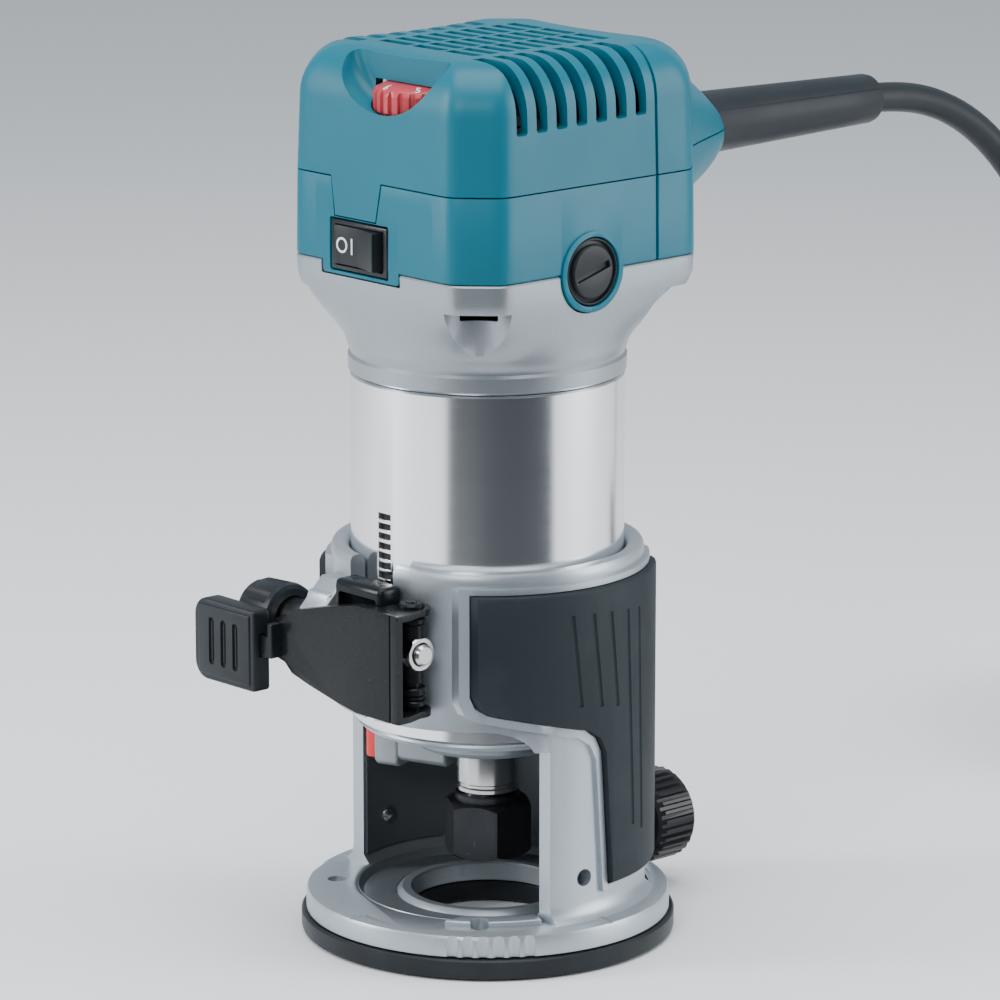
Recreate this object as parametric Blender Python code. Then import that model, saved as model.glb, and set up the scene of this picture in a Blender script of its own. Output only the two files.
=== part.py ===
"""Compact trim router: a round motor that slides in a fixed base with a lever clamp.

Lengths are in millimetres and become metres in the helpers. The spindle's axis is
X = Y = 0, Z = 0 is the underside of the sole, and the clamp and the switch face -Y.
"""
import math

import bmesh
import bpy
from mathutils import Matrix, Vector

MM = 0.001
GAP = 0.3                     # clearance between pieces that touch
HEAD_SIDES = 32               # sides of the head's lofted shells
ROUND = 32                    # sides of the large round pieces
SMALL_ROUND = 12              # sides of pins, screws and knobs

SOLE_RADIUS, SOLE_TOP, SOLE_HOLE = 45.0, 4.8, 17.5
SCREW_CIRCLE, SCREW_SHANK = 36.5, 1.9
FLANGE_RADIUS, FLANGE_TOP = 43.8, 10.5
COLUMN_RADIUS, COLUMN_INSIDE = 37.5, 34.0
WINDOW_TOP, WINDOW_EDGE = 58.0, -12.2
COLLAR_INSIDE, COLLAR_TOP = 32.8, 96.0
GRIP_OUTSIDE, GRIP_TOP, GRIP_FOOT = 40.2, 91.0, 18.0

CLAMP_Y, CLAMP_Z = -38.6, 77.8
PIVOT_X = 16.5
LEVER_BOTTOM, LEVER_TOP = 62.8, 88.6
PLATE_FRONT, PLATE_BACK = -47.6, -46.1
PADDLE_LEFT, PADDLE_RIGHT, PADDLE_FRONT = -46.5, -19.5, -52.5

RACK_PITCH, RACK_SLOTS, RACK_SLOT = 2.356, 20, 1.5
RACK_BOTTOM = CLAMP_Z - RACK_SLOT / 2 - 7 * RACK_PITCH   # a slot faces a tooth at rest
PINION_TEETH, PINION_LENGTH = 17, 11.0
PINION_RADIUS = PINION_TEETH * RACK_PITCH / (2 * math.pi)

TUBE_RADIUS, TUBE_INSIDE, TUBE_BOTTOM, TUBE_TOP = 32.5, 30.6, 53.5, 137.0
BAND_TOP, FLARE_TOP, SEAM = 143.5, 161.0, 165.5
SPLIT, COVER_TOP, COVER_ROUND = 185.5, 215.0, 12.0
HEAD_SIDE, HEAD_FRONT, HEAD_BACK, HEAD_CORNER = 36.0, 36.0, 41.5, 44.6
HEAD_WALL = 2.6
BRUSH_Z = 165.3
CORD_Z, BOSS_END, GUARD_END = 188.0, 70.0, 128.0

SPINDLE_RADIUS, SPINDLE_END = 7.5, 24.0
NUT_ACROSS, NUT_BOTTOM, NUT_TOP = 19.0, 19.5, 35.0
COLLET_BORE = 4.0
BUTTON_ANGLE = 19.1           # the lock's direction, in degrees from X

DIAL_X, DIAL_Y, DIAL_Z, DIAL_RADIUS = 3.5, -22.5, 204.5, 12.0
SWITCH_X, SWITCH_Z = -4.5, 169.6

CORD_RADIUS = 3.75
COIL_X, COIL_Y, COIL_RADIUS, COIL_HALF, COIL_TOP = 0.0, 268.0, 44.0, 11.4, 21.0
PLUG_X, PLUG_TAIL, PLUG_FACE, PLUG_Z = 44.0, 246.0, 298.0, 34.6

ORIGIN_X = (SOLE_RADIUS + PADDLE_LEFT) / 2   # middle of the tool's own box, without its cord
ORIGIN_Y = (PADDLE_FRONT + BOSS_END) / 2

for old in list(bpy.data.objects):
    bpy.data.objects.remove(old)

router = bpy.data.collections.new("trim_router")
cutters = bpy.data.collections.new("cutters")
bpy.context.scene.collection.children.link(router)
bpy.context.scene.collection.children.link(cutters)
base_point = bpy.data.objects.new("router_frame", None)
base_point.location = (-ORIGIN_X * MM, -ORIGIN_Y * MM, 0)
router.objects.link(base_point)


def finish_of(name, colour, roughness, metallic=0.0):
    """A plain finish: a Principled BSDF with the part's own colour."""
    made = bpy.data.materials.new(name)
    made.use_nodes = True
    shader = made.node_tree.nodes["Principled BSDF"]
    shader.inputs["Base Color"].default_value = (*colour, 1)
    shader.inputs["Roughness"].default_value = roughness
    shader.inputs["Metallic"].default_value = metallic
    made.diffuse_color = (*colour, 1)
    return made


TEAL = ("teal_plastic", (0.01, 0.24, 0.29), 0.42)
SILVER = ("silver_casting", (0.55, 0.57, 0.58), 0.4, 0.7)
POLISHED = ("polished_aluminium", (0.78, 0.79, 0.8), 0.16, 1.0)
BLACK = ("black_plastic", (0.02, 0.022, 0.025), 0.5)
RUBBER = ("grip_rubber", (0.03, 0.04, 0.05), 0.75)
BLACK_STEEL = ("black_steel", (0.015, 0.015, 0.017), 0.3, 0.6)
STEEL = ("bright_steel", (0.6, 0.6, 0.6), 0.3, 1.0)
RED = ("red_plastic", (0.72, 0.05, 0.04), 0.4)
COPPER = ("copper", (0.7, 0.3, 0.15), 0.35, 1.0)
BRASS = ("brass", (0.7, 0.5, 0.2), 0.35, 1.0)
CARBON = ("carbon", (0.02, 0.02, 0.02), 0.7)


def keep(name, mesh, look=None, at=(0, 0, 0)):
    """Makes an object of a mesh drawn in place; its origin goes to the point given."""
    mesh.transform(Matrix.Translation(-Vector(at)))
    mesh.transform(Matrix.Scale(MM, 4))
    made = bpy.data.objects.new(name, mesh)
    made.location = Vector(at) * MM
    made.parent = base_point
    if look:
        router.objects.link(made)
        mesh.materials.append(finish_of(name + "_" + look[0], *look[1:]))
        mesh.shade_smooth()
        mesh.set_sharp_from_angle(angle=math.radians(30))
    else:
        cutters.objects.link(made)
        made.hide_render = True
        made.display_type = "WIRE"
    return made


def mesh_of(bm, name="shape"):
    bmesh.ops.recalc_face_normals(bm, faces=bm.faces)
    mesh = bpy.data.meshes.new(name)
    bm.to_mesh(mesh)
    bm.free()
    return mesh


def turn_to(direction):
    """The turn that takes +Z to a direction."""
    return Vector((0, 0, 1)).rotation_difference(Vector(direction)).to_matrix().to_4x4()


def rod(start, end, radius, end_radius=None, sides=SMALL_ROUND, phase=0.0):
    """A cylinder or cone between two points."""
    start, end = Vector(start), Vector(end)
    far = radius if end_radius is None else end_radius
    bm = bmesh.new()
    bmesh.ops.create_cone(bm, cap_ends=True, segments=sides, radius1=radius, radius2=far,
                          depth=(end - start).length)
    place = Matrix.Translation((start + end) / 2) @ turn_to(end - start)
    bmesh.ops.transform(bm, matrix=place @ Matrix.Rotation(phase, 4, "Z"), verts=bm.verts)
    return mesh_of(bm)


def block(low, high):
    """A box between two corners."""
    low, high = Vector(low), Vector(high)
    bm = bmesh.new()
    bmesh.ops.create_cube(bm, size=1)
    bmesh.ops.scale(bm, vec=high - low, verts=bm.verts)
    bmesh.ops.translate(bm, vec=(low + high) / 2, verts=bm.verts)
    return mesh_of(bm)


def prism(outline, along, low, high):
    """A flat outline pushed along an axis; its points are in the other two axes' order."""
    bm = bmesh.new()
    spots = {"X": lambda a, b: (low, a, b), "Y": lambda a, b: (a, low, b), "Z": lambda a, b: (a, b, low)}
    face = bm.faces.new([bm.verts.new(spots[along](a, b)) for a, b in outline])
    pushed = bmesh.ops.extrude_face_region(bm, geom=[face])["geom"]
    step = {"X": (1, 0, 0), "Y": (0, 1, 0), "Z": (0, 0, 1)}[along]
    moved = [v for v in pushed if isinstance(v, bmesh.types.BMVert)]
    bmesh.ops.translate(bm, vec=Vector(step) * (high - low), verts=moved)
    return mesh_of(bm)


def turned(profile, sides=ROUND, axis=(0, 0, 1), centre=(0, 0, 0)):
    """A profile of (radius, height) points spun about an axis; a point at radius 0 closes it."""
    bm = bmesh.new()
    line = [bm.verts.new((r, 0, z)) for r, z in profile]
    edges = [bm.edges.new(pair) for pair in zip(line, line[1:])]
    if profile[0][0] > 0 or profile[-1][0] > 0:
        edges.append(bm.edges.new((line[-1], line[0])))
    bmesh.ops.spin(bm, geom=line + edges, cent=(0, 0, 0), axis=(0, 0, 1), dvec=(0, 0, 0),
                   angle=math.tau, steps=sides, use_merge=True, use_duplicate=False)
    bmesh.ops.remove_doubles(bm, verts=bm.verts, dist=1e-4)
    bmesh.ops.transform(bm, matrix=Matrix.Translation(centre) @ turn_to(axis), verts=bm.verts)
    return mesh_of(bm)


def joined(*meshes):
    """Several closed shapes as one mesh, for a cutter."""
    bm = bmesh.new()
    for mesh in meshes:
        bm.from_mesh(mesh)
    return mesh_of(bm)


def combine(target, mesh, operation="DIFFERENCE"):
    """A Boolean with a shape drawn in place."""
    tool = keep(f"{target.name}_{operation.lower()}_{len(target.modifiers)}", mesh)
    step = target.modifiers.new(tool.name, "BOOLEAN")
    step.operation = operation
    step.solver = "EXACT"
    step.object = tool
    return target


def arc(centre, radius, start, end, steps):
    """Points of an arc, in degrees."""
    turns = [math.radians(start + (end - start) * k / steps) for k in range(steps + 1)]
    return [(centre[0] + radius * math.cos(t), centre[1] + radius * math.sin(t)) for t in turns]


# ---- the base ----
def base_casting():
    profile = [(35.4, COLLAR_TOP), (37.2, COLLAR_TOP - 1.2), (37.2, 60), (COLUMN_RADIUS, 57),
               (COLUMN_RADIUS, 13), (39.5, FLANGE_TOP), (31.5, FLANGE_TOP), (COLUMN_INSIDE, 12.5),
               (COLUMN_INSIDE, 56), (COLLAR_INSIDE, 58), (COLLAR_INSIDE, COLLAR_TOP - 1.5)]
    casting = keep("base_casting", turned(profile, 40), SILVER)
    window = [(-50, FLANGE_TOP - 0.1), (50, FLANGE_TOP - 0.1), (50, 50)]
    window += [(31, 50), (26, WINDOW_TOP), (-26, WINDOW_TOP), (-31, 50), (-50, 50)]
    combine(casting, prism(window, "Y", -60, WINDOW_EDGE))
    combine(casting, block((-16, -44, 64), (-8, -33.8, 88)), "UNION")
    combine(casting, block((8, -44, 65), (13, -33.8, 86.4)), "UNION")
    combine(casting, block((8, -43.5, 86), (11.4, -33.8, 93)), "UNION")
    combine(casting, block((-9, 35.8, FLANGE_TOP), (9, 47, 28)), "UNION")
    gap = block((-7.6, -50, 66), (7.6, -30, 99))
    slit = block((-1.6, -50, 55), (1.6, -30, 67))
    bolt_way = rod((7, CLAMP_Y, CLAMP_Z), (25, CLAMP_Y, CLAMP_Z), 2.9)
    pinion_way = rod((-30, CLAMP_Y, CLAMP_Z), (-7.2, CLAMP_Y, CLAMP_Z), 5.4)
    combine(casting, gap)
    combine(casting, joined(slit, bolt_way, pinion_way))
    screw_way = rod((0, 43.5, 16.5), (0, 50, 16.5), 3.3)
    guide_way = block((-3.5, 38.6, 5), (3.5, 44.0, 31))
    sides = [rod((side * 33, -3, 20.5), (side * 41, -3, 20.5), 2.1, sides=12) for side in (-1, 1)]
    combine(casting, joined(screw_way, *sides))
    combine(casting, guide_way)


def base_flange():
    """The casting's foot: cast with the column, and kept as a ring of its own so that its hole stays open."""
    profile = [(FLANGE_RADIUS - 1, FLANGE_TOP), (FLANGE_RADIUS, FLANGE_TOP - 1), (FLANGE_RADIUS, SOLE_TOP + GAP),
               (18.2, SOLE_TOP + GAP), (18.2, 9.6), (21, 9.6), (22, 8.2), (30, 8.2), (31.5, FLANGE_TOP)]
    flange = keep("base_flange", turned(profile, 40), SILVER)
    holes = [rod((x, y, 4), (x, y, 10.9), SCREW_SHANK + GAP, sides=12) for x, y in screw_places()]
    combine(flange, joined(*holes))
    combine(flange, block((-3.5, 38.6, 3), (3.5, 44.0, 12)))


def screw_places():
    reach = SCREW_CIRCLE / math.sqrt(2)
    return [(x * reach, y * reach) for x in (-1, 1) for y in (-1, 1)]


def sole():
    profile = [(SOLE_RADIUS, SOLE_TOP), (SOLE_RADIUS, 0.8), (SOLE_RADIUS - 0.8, 0),
               (SOLE_HOLE, 0), (SOLE_HOLE, SOLE_TOP)]
    plate = keep("sole_plate", turned(profile, 40), BLACK)
    ways = []
    for number, (x, y) in enumerate(screw_places(), 1):
        ways.append(turned([(0, 6), (2.2, 6), (2.2, 3), (4.6, 0.6), (4.6, -1), (0, -1)], 12,
                           centre=(x, y, 0)))
        screw = [(0, 9.5), (SCREW_SHANK, 9.5), (SCREW_SHANK, 3), (4.1, 0.8), (4.1, 0.4), (0, 0.4)]
        keep(f"sole_screw_{number}", turned(screw, 12, centre=(x, y, 0)), STEEL)
    combine(plate, joined(*ways))


def grips():
    ring = [(GRIP_OUTSIDE - 0.8, GRIP_TOP), (GRIP_OUTSIDE, GRIP_TOP - 1), (GRIP_OUTSIDE, GRIP_FOOT + 1),
            (GRIP_OUTSIDE - 0.8, GRIP_FOOT), (37.9, GRIP_FOOT), (37.9, GRIP_TOP)]
    side = [(-28.5, 95), (-28.5, 66), (-25.5, 62.5), (-4, 57), (1.5, 51), (4.5, 10), (30, 10), (30, 95)]
    for name, low, high in (("grip_right", 5, 50), ("grip_left", -50, -5)):
        grip = keep(name, turned(ring, 40), RUBBER)
        combine(grip, prism(side, "X", low, high), "INTERSECT")


def clamp():
    bolt = joined(rod((-34, CLAMP_Y, CLAMP_Z), (23.2, CLAMP_Y, CLAMP_Z), 2.5))
    bolt = keep("clamp_bolt", bolt, STEEL)
    combine(bolt, rod((-36.5, CLAMP_Y, CLAMP_Z), (-33.5, CLAMP_Y, CLAMP_Z), 4.2), "UNION")
    nut = keep("clamp_nut", rod((19.9, CLAMP_Y, CLAMP_Z), (22.4, CLAMP_Y, CLAMP_Z), 4.04, sides=6), STEEL)
    combine(nut, rod((18, CLAMP_Y, CLAMP_Z), (25, CLAMP_Y, CLAMP_Z), 2.8, sides=12))
    at = (PIVOT_X, CLAMP_Y, CLAMP_Z)
    pin = keep("lever_pin", rod((PIVOT_X, CLAMP_Y, 62), (PIVOT_X, CLAMP_Y, 89.4), 2.2), STEEL, at)
    combine(pin, rod((PIVOT_X, CLAMP_Y, 71), (PIVOT_X, CLAMP_Y, 84.6), 3.1), "UNION")
    combine(pin, rod((10, CLAMP_Y, CLAMP_Z), (25, CLAMP_Y, CLAMP_Z), 2.8, sides=12))


def lever():
    at = (PIVOT_X, CLAMP_Y, 0)
    face = [(22, LEVER_BOTTOM), (22, LEVER_TOP), (8, LEVER_TOP), (-16, 83.2), (-21.8, 80.5), (-21.8, 70.5),
            (-16, 68.5), (6, LEVER_BOTTOM)]
    arm = keep("lever_arm", prism(face, "Y", PLATE_FRONT, PLATE_BACK), BLACK_STEEL, at)
    ear = [(12.6, PLATE_BACK - 0.5), (22, PLATE_BACK - 0.5), (22, -44.5)]
    ear += arc((PIVOT_X, CLAMP_Y), 4.5, -15, 180, 8)
    combine(arm, prism(ear, "Z", LEVER_BOTTOM, LEVER_BOTTOM + 1.5), "UNION")
    combine(arm, prism(ear, "Z", LEVER_TOP - 1.5, LEVER_TOP), "UNION")
    combine(arm, block((-40, -50.6, 71), (-20, -49.2, 76)), "UNION")
    combine(arm, block((-21.5, -50.6, 71), (-19.7, -46.6, 79)), "UNION")
    combine(arm, rod((PIVOT_X, CLAMP_Y, 60), (PIVOT_X, CLAMP_Y, 91), 2.5))
    outline = [(PADDLE_RIGHT - 2.6, 62.8), (PADDLE_RIGHT - 2.6, 82)]
    outline += arc((PADDLE_LEFT + 4, 78), 4, 90, 180, 3) + arc((PADDLE_LEFT + 4, 66), 4, 180, 270, 3)
    paddle = keep("lever_grip", prism(outline, "Y", PADDLE_FRONT, -47.4), BLACK, at)
    combine(paddle, block((-40.4, -50.9, 70.7), (-15, -48.9, 76.3)))


def pinion():
    """The depth pinion: a toothed sleeve over the bolt, with its knob outside the left ear."""
    at = (0, CLAMP_Y, CLAMP_Z)
    step = math.tau / PINION_TEETH
    teeth = []
    for tooth in range(PINION_TEETH):
        turn = tooth * step + math.pi / 2
        for offset, radius in ((-0.21, PINION_RADIUS - 0.85), (-0.07, PINION_RADIUS + 0.72),
                               (0.07, PINION_RADIUS + 0.72), (0.21, PINION_RADIUS - 0.85)):
            angle = turn + offset * step
            teeth.append((CLAMP_Y + radius * math.sin(angle), CLAMP_Z + radius * math.cos(angle)))
    half = PINION_LENGTH / 2
    gear = keep("pinion_gear", prism(teeth, "X", -2.0, 2.0), STEEL, at)
    combine(gear, rod((-29, CLAMP_Y, CLAMP_Z), (half, CLAMP_Y, CLAMP_Z), 4.9), "UNION")
    combine(gear, rod((-40, CLAMP_Y, CLAMP_Z), (half + 3, CLAMP_Y, CLAMP_Z), 2.9))
    knob = keep("pinion_knob", rod((-38.5, CLAMP_Y, CLAMP_Z), (-26.5, CLAMP_Y, CLAMP_Z), 7.6, 8.2, 24),
                BLACK, at)
    combine(knob, joined(rod((-31, CLAMP_Y, CLAMP_Z), (-20, CLAMP_Y, CLAMP_Z), 5.3)))
    combine(knob, joined(rod((-34, CLAMP_Y, CLAMP_Z), (-28, CLAMP_Y, CLAMP_Z), 3.0)))
    combine(knob, joined(rod((-42, CLAMP_Y, CLAMP_Z), (-33, CLAMP_Y, CLAMP_Z), 4.8)))


def guide_screw():
    at = (0, 54, 16.5)
    screw = keep("guide_thumb_screw", rod((0, 47.8, 16.5), (0, 59.8, 16.5), 11.4, 11.0, 24), BLACK, at)
    combine(screw, rod((0, 44.4, 16.5), (0, 50, 16.5), 2.9), "UNION")
    return screw


# ---- the motor unit ----
def head_reach(angle):
    """How far the head's outline is from the spindle's axis in a direction: a box with cut corners."""
    back = HEAD_BACK if math.sin(angle) > 0 else HEAD_FRONT
    corner = HEAD_CORNER + (HEAD_BACK - HEAD_FRONT) * (0.7 if math.sin(angle) > 0 else 0)
    sharp = 18
    total = (abs(math.cos(angle)) / HEAD_SIDE) ** sharp + (abs(math.sin(angle)) / back) ** sharp
    for tilt in (45, 135, 225, 315):
        total += (max(0.0, math.cos(angle - math.radians(tilt))) / corner) ** sharp
    return total ** (-1 / sharp)


def head_loft(levels, inner):
    """A walled shell through level sections; a level is (height, share of head outline, inset)."""
    count = HEAD_SIDES
    turns = [math.tau * (k + 0.5) / count for k in range(count)]

    def ring(bm, level, wall):
        z, share, inset = level
        points = []
        for turn in turns:
            reach = (TUBE_RADIUS + 0.5) * (1 - share) + head_reach(turn) * share - inset - wall
            points.append(bm.verts.new((reach * math.cos(turn), reach * math.sin(turn), z)))
        return points

    def skin(bm, rings):
        for low, high in zip(rings, rings[1:]):
            for k in range(count):
                bm.faces.new((low[k], low[(k + 1) % count], high[(k + 1) % count], high[k]))

    bm = bmesh.new()
    outside = [ring(bm, level, 0) for level in levels]
    inside = [ring(bm, level, HEAD_WALL) for level in inner]
    skin(bm, outside + inside[::-1])
    if inner[-1][0] < levels[-1][0] - 1:
        # a closed top: split the bridge between the two top rings into two caps
        faces = [f for f in bm.faces if set(f.verts) & set(outside[-1]) and set(f.verts) & set(inside[-1])]
        bmesh.ops.delete(bm, geom=faces, context="FACES_ONLY")
        bm.faces.new(outside[-1])
        bm.faces.new(inside[-1])
    skin(bm, [inside[0], outside[0]])
    return mesh_of(bm)


def head():
    band = TUBE_TOP + GAP
    flare = [(band, 0, 0), (BAND_TOP, 0, 0), (147, 0.14, 0), (151, 0.42, 0), (155, 0.72, 0),
             (158.5, 0.92, 0), (FLARE_TOP, 1, 0.2), (SEAM - GAP, 1, 0)]
    collar = keep("head_collar", head_loft(flare, flare), SILVER)
    ways = [rod((side * 28, 0, BRUSH_Z), (side * 50, 0, BRUSH_Z), 10.2, sides=24) for side in (-1, 1)]
    tab = block((-18, -50, 162.2), (10, -25, 170))
    vents = []
    for tilt in (45, 135, 225, 315):
        out = Vector((math.cos(math.radians(tilt)), math.sin(math.radians(tilt)), 0))
        vents.append(rod(out * 30 + Vector((0, 0, 155)), out * 56 + Vector((0, 0, 155)), 2.4, sides=12))
    combine(collar, joined(*ways, tab, *vents))

    shell = keep("head_shell", head_loft([(SEAM, 1, 0), (SPLIT - GAP, 1, 0.3)],
                                         [(SEAM, 1, 0), (SPLIT - GAP, 1, 0.3)]), TEAL)
    for side in (-1, 1):
        boss = rod((side * 33.5, 0, BRUSH_Z), (side * 36.4, 0, BRUSH_Z), 9.8, sides=24)
        combine(shell, boss, "UNION")
    combine(shell, block((-17.6, -36.1, 162.6), (9.6, -33.2, 168)), "UNION")
    caps = [rod((side * 30, 0, BRUSH_Z), (side * 40, 0, BRUSH_Z), 8.3, sides=24) for side in (-1, 1)]
    opening = block((SWITCH_X - 10.3, -40, SWITCH_Z - 6.3), (SWITCH_X + 10.3, -30, SWITCH_Z + 6.3))
    boss_way = rod((0, 30, CORD_Z), (0, 60, CORD_Z), 12.9, sides=24)
    combine(shell, joined(*caps, opening, boss_way))

    rounding = [(SPLIT, 1, 0.3), (COVER_TOP - COVER_ROUND, 1, 1.0)]
    for turn in (25, 50, 72, 90):
        angle = math.radians(turn)
        drop = COVER_ROUND * (1 - math.cos(angle))
        rounding.append((COVER_TOP - COVER_ROUND + COVER_ROUND * math.sin(angle), 1, 1.0 + drop))
    inner = [(z - (HEAD_WALL if z > COVER_TOP - COVER_ROUND - 1 else 0), share, inset)
             for z, share, inset in rounding]
    cover = keep("top_cover", head_loft(rounding, inner), TEAL)
    boss = turned([(0, BOSS_END - 34), (12.4, BOSS_END - 34), (12.4, 20), (11.0, 14), (11.0, 0), (0, 0)],
                  24, (0, -1, 0), (0, BOSS_END, CORD_Z))
    combine(cover, boss, "UNION")
    slots = [block((side * 20, -22.6 + 6.2 * k, 194), (side * 45, -20.3 + 6.2 * k, 220))
             for side in (-1, 1) for k in range(7)]
    rows = [block((-17 + 12 * column, -4.0 + 5.4 * row, 208), (-7.5 + 12 * column, -1.8 + 5.4 * row, 220))
            for column in range(3) for row in range(6)]
    combine(cover, joined(*slots, *rows))
    scoop = turned([(0, 9), (9, 7.5), (15, 2), (15, -3), (12, -5.5), (0, -5.5)], 24,
                   centre=(DIAL_X, DIAL_Y - 6, DIAL_Z))
    combine(cover, scoop)
    cord_way = rod((0, 20, CORD_Z), (0, 90, CORD_Z), 8.4, sides=16)
    combine(cover, cord_way)
    return cover


def motor_body():
    profile = [(TUBE_RADIUS, TUBE_TOP), (TUBE_RADIUS, TUBE_BOTTOM), (TUBE_INSIDE, TUBE_BOTTOM),
               (TUBE_INSIDE, TUBE_TOP)]
    tube = keep("motor_tube", turned(profile, 48), POLISHED)
    rack = [block((-2.2, -34, z), (2.2, -31.25, z + RACK_SLOT)) for z in
            (RACK_BOTTOM + k * RACK_PITCH for k in range(RACK_SLOTS))]
    combine(tube, joined(*rack))
    nose = [(0, 60), (12.6, 60), (TUBE_INSIDE - GAP, 60), (TUBE_INSIDE - GAP, TUBE_BOTTOM - GAP),
            (31, TUBE_BOTTOM - GAP), (30, 51.5), (18.5, 50), (0, 50)]
    housing = keep("nose_housing", turned(nose, 40), SILVER)
    combine(housing, turned([(0, 62), (13.0, 62), (13.0, 52.5), (9.5, 52.5), (9.5, 48), (0, 48)], 24))
    disc = keep("nose_cap", turned([(18, 49.7), (18, 47.6), (17.2, 46.8), (8.6, 46.8), (8.6, 49.7)], 32),
                ("grey_casting", (0.35, 0.36, 0.37), 0.5, 0.5))
    out = lock_direction()
    combine(disc, rod(out * 9.0 + Vector((0, 0, 45)), out * 26 + Vector((0, 0, 45)), 4.8), "UNION")
    combine(disc, rod(out * 5 + Vector((0, 0, 45)), out * 40 + Vector((0, 0, 45)), 1.9, sides=12))
    inner = TUBE_INSIDE - GAP
    keep("field_core", turned([(inner, 128), (inner, 86), (19.2, 86), (19.2, 128)], 16), STEEL)
    for name, low in (("field_coil_upper", 128.3), ("field_coil_lower", 77.7)):
        coil = turned([(27.5, low + 8), (27.5, low), (21, low), (21, low + 8)], 16)
        keep(name, coil, COPPER)
    keep("baffle_plate", turned([(30, 146), (30, 144.4), (20, 144.4), (20, 146)], 16), BLACK)
    keep("lower_bearing", turned([(12.7, 60), (12.7, 53), (6.3, 53), (6.3, 60)], 16), STEEL)
    keep("upper_bearing", turned([(9.5, 184), (9.5, 178), (4.3, 178), (4.3, 184)], 16), STEEL)
    bridge = [(33, 181.5), (33, 179.5), (12, 179.5), (12, 177), (9.8, 177), (9.8, 184.5), (12, 184.5),
              (12, 181.5)]
    keep("bearing_bridge", turned(bridge, 16), BLACK)
    for name, side in (("right", 1), ("left", -1)):
        holder = keep(f"brush_holder_{name}",
                      block((side * 13, -4.5, BRUSH_Z - 6), (side * 31.5, 4.5, BRUSH_Z + 6)), BRASS)
        combine(holder, block((side * 10, -3.3, BRUSH_Z - 4.3), (side * 35, 3.3, BRUSH_Z + 4.3)))
        keep(f"carbon_brush_{name}",
             block((side * 11.6, -3, BRUSH_Z - 4), (side * 24, 3, BRUSH_Z + 4)), CARBON)
        cap = keep(f"brush_cap_{name}",
                   rod((side * 32, 0, BRUSH_Z), (side * 36.6, 0, BRUSH_Z), 8.0, sides=24), BLACK)
        combine(cap, block((side * 35.2, -6.5, BRUSH_Z - 0.8), (side * 38, 6.5, BRUSH_Z + 0.8)))
        line = [Vector((side * (24.6 + 6.8 * k / 20), 2.1 * math.cos(k * math.tau / 5),
                        BRUSH_Z + 2.1 * math.sin(k * math.tau / 5))) for k in range(21)]
        wire(f"brush_spring_{name}", line, 0.3, STEEL, 0)
    body = keep("switch_body", block((SWITCH_X - 9.9, -35.8, SWITCH_Z - 5.9),
                                     (SWITCH_X + 9.9, -20, SWITCH_Z + 5.9)), BLACK)
    combine(body, block((SWITCH_X - 8.9, -38, SWITCH_Z - 5.0), (SWITCH_X + 8.9, -27, SWITCH_Z + 5.0)))
    keep("speed_controller", block((-20, 4, 191), (20, 30, 204)), BLACK)
    keep("cord_clamp", block((-9, 24.0, 186.5), (9, 32.5, 189.5)), BLACK)
    guard = [(0, 0), (6.2, 0), (6.5, 3), (7.9, GUARD_END - BOSS_END - 2), (7.9, GUARD_END - 47),
             (6.0, GUARD_END - 46), (6.0, GUARD_END - 40), (0, GUARD_END - 40)]
    keep("cord_guard", turned(guard, 16, (0, -1, 0), (0, GUARD_END, CORD_Z)), RUBBER)


def lock_direction():
    angle = math.radians(BUTTON_ANGLE)
    return Vector((-math.cos(angle), -math.sin(angle), 0))


def lock_button():
    out = lock_direction()
    high = Vector((0, 0, 45))
    button = keep("lock_button", rod(out * 29.8 + high, out * 31.6 + high, 4.9, 4.3), RED, out * 30 + high)
    combine(button, rod(out * 11.2 + high, out * 30.2 + high, 1.5, sides=12), "UNION")


def rotor():
    shaft = [(0, 190), (4, 190), (4, 61), (6, 61), (6, 49), (SPINDLE_RADIUS, 48.4), (SPINDLE_RADIUS, 35.6),
             (6.5, 35.3), (6.5, SPINDLE_END), (0, SPINDLE_END)]
    shaft = keep("armature_shaft", turned(shaft, 20), STEEL)
    combine(shaft, rod((0, 0, 20), (0, 0, 44), 5.2, sides=24))
    keep("collet_cone", turned([(4.9, 40), (4.9, 23.7), (5.9, 23.1), (5.0, 22.5), (COLLET_BORE, 22.5),
                                (COLLET_BORE, 40)], 24), STEEL)
    keep("armature_core", turned([(18.2, 128), (18.2, 86), (4.3, 86), (4.3, 128)], 16), STEEL)
    keep("commutator", turned([(11, 172.5), (11, 158.5), (4.3, 158.5), (4.3, 172.5)], 16), COPPER)
    fan = keep("cooling_fan", turned([(26, 150.5), (26, 149), (4.3, 149), (4.3, 156), (8, 156), (8, 150.5)], 16),
               BLACK)
    blades = [prism([(9, -0.5), (25, -0.5), (25, 0.5), (9, 0.5)], "Z", 150, 155.5) for _ in range(8)]
    for number, blade in enumerate(blades):
        blade.transform(Matrix.Rotation(number * math.tau / 8, 4, "Z"))
    combine(fan, joined(*blades), "UNION")
    nut = keep("collet_nut", rod((0, 0, NUT_BOTTOM), (0, 0, NUT_TOP), NUT_ACROSS / math.sqrt(3), sides=6),
               BLACK_STEEL)
    combine(nut, turned([(0, 40), (6.8, 40), (6.8, 23.4), (5.4, 22.0), (4.6, 21.8), (4.6, 15), (0, 15)],
                        24))


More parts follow.
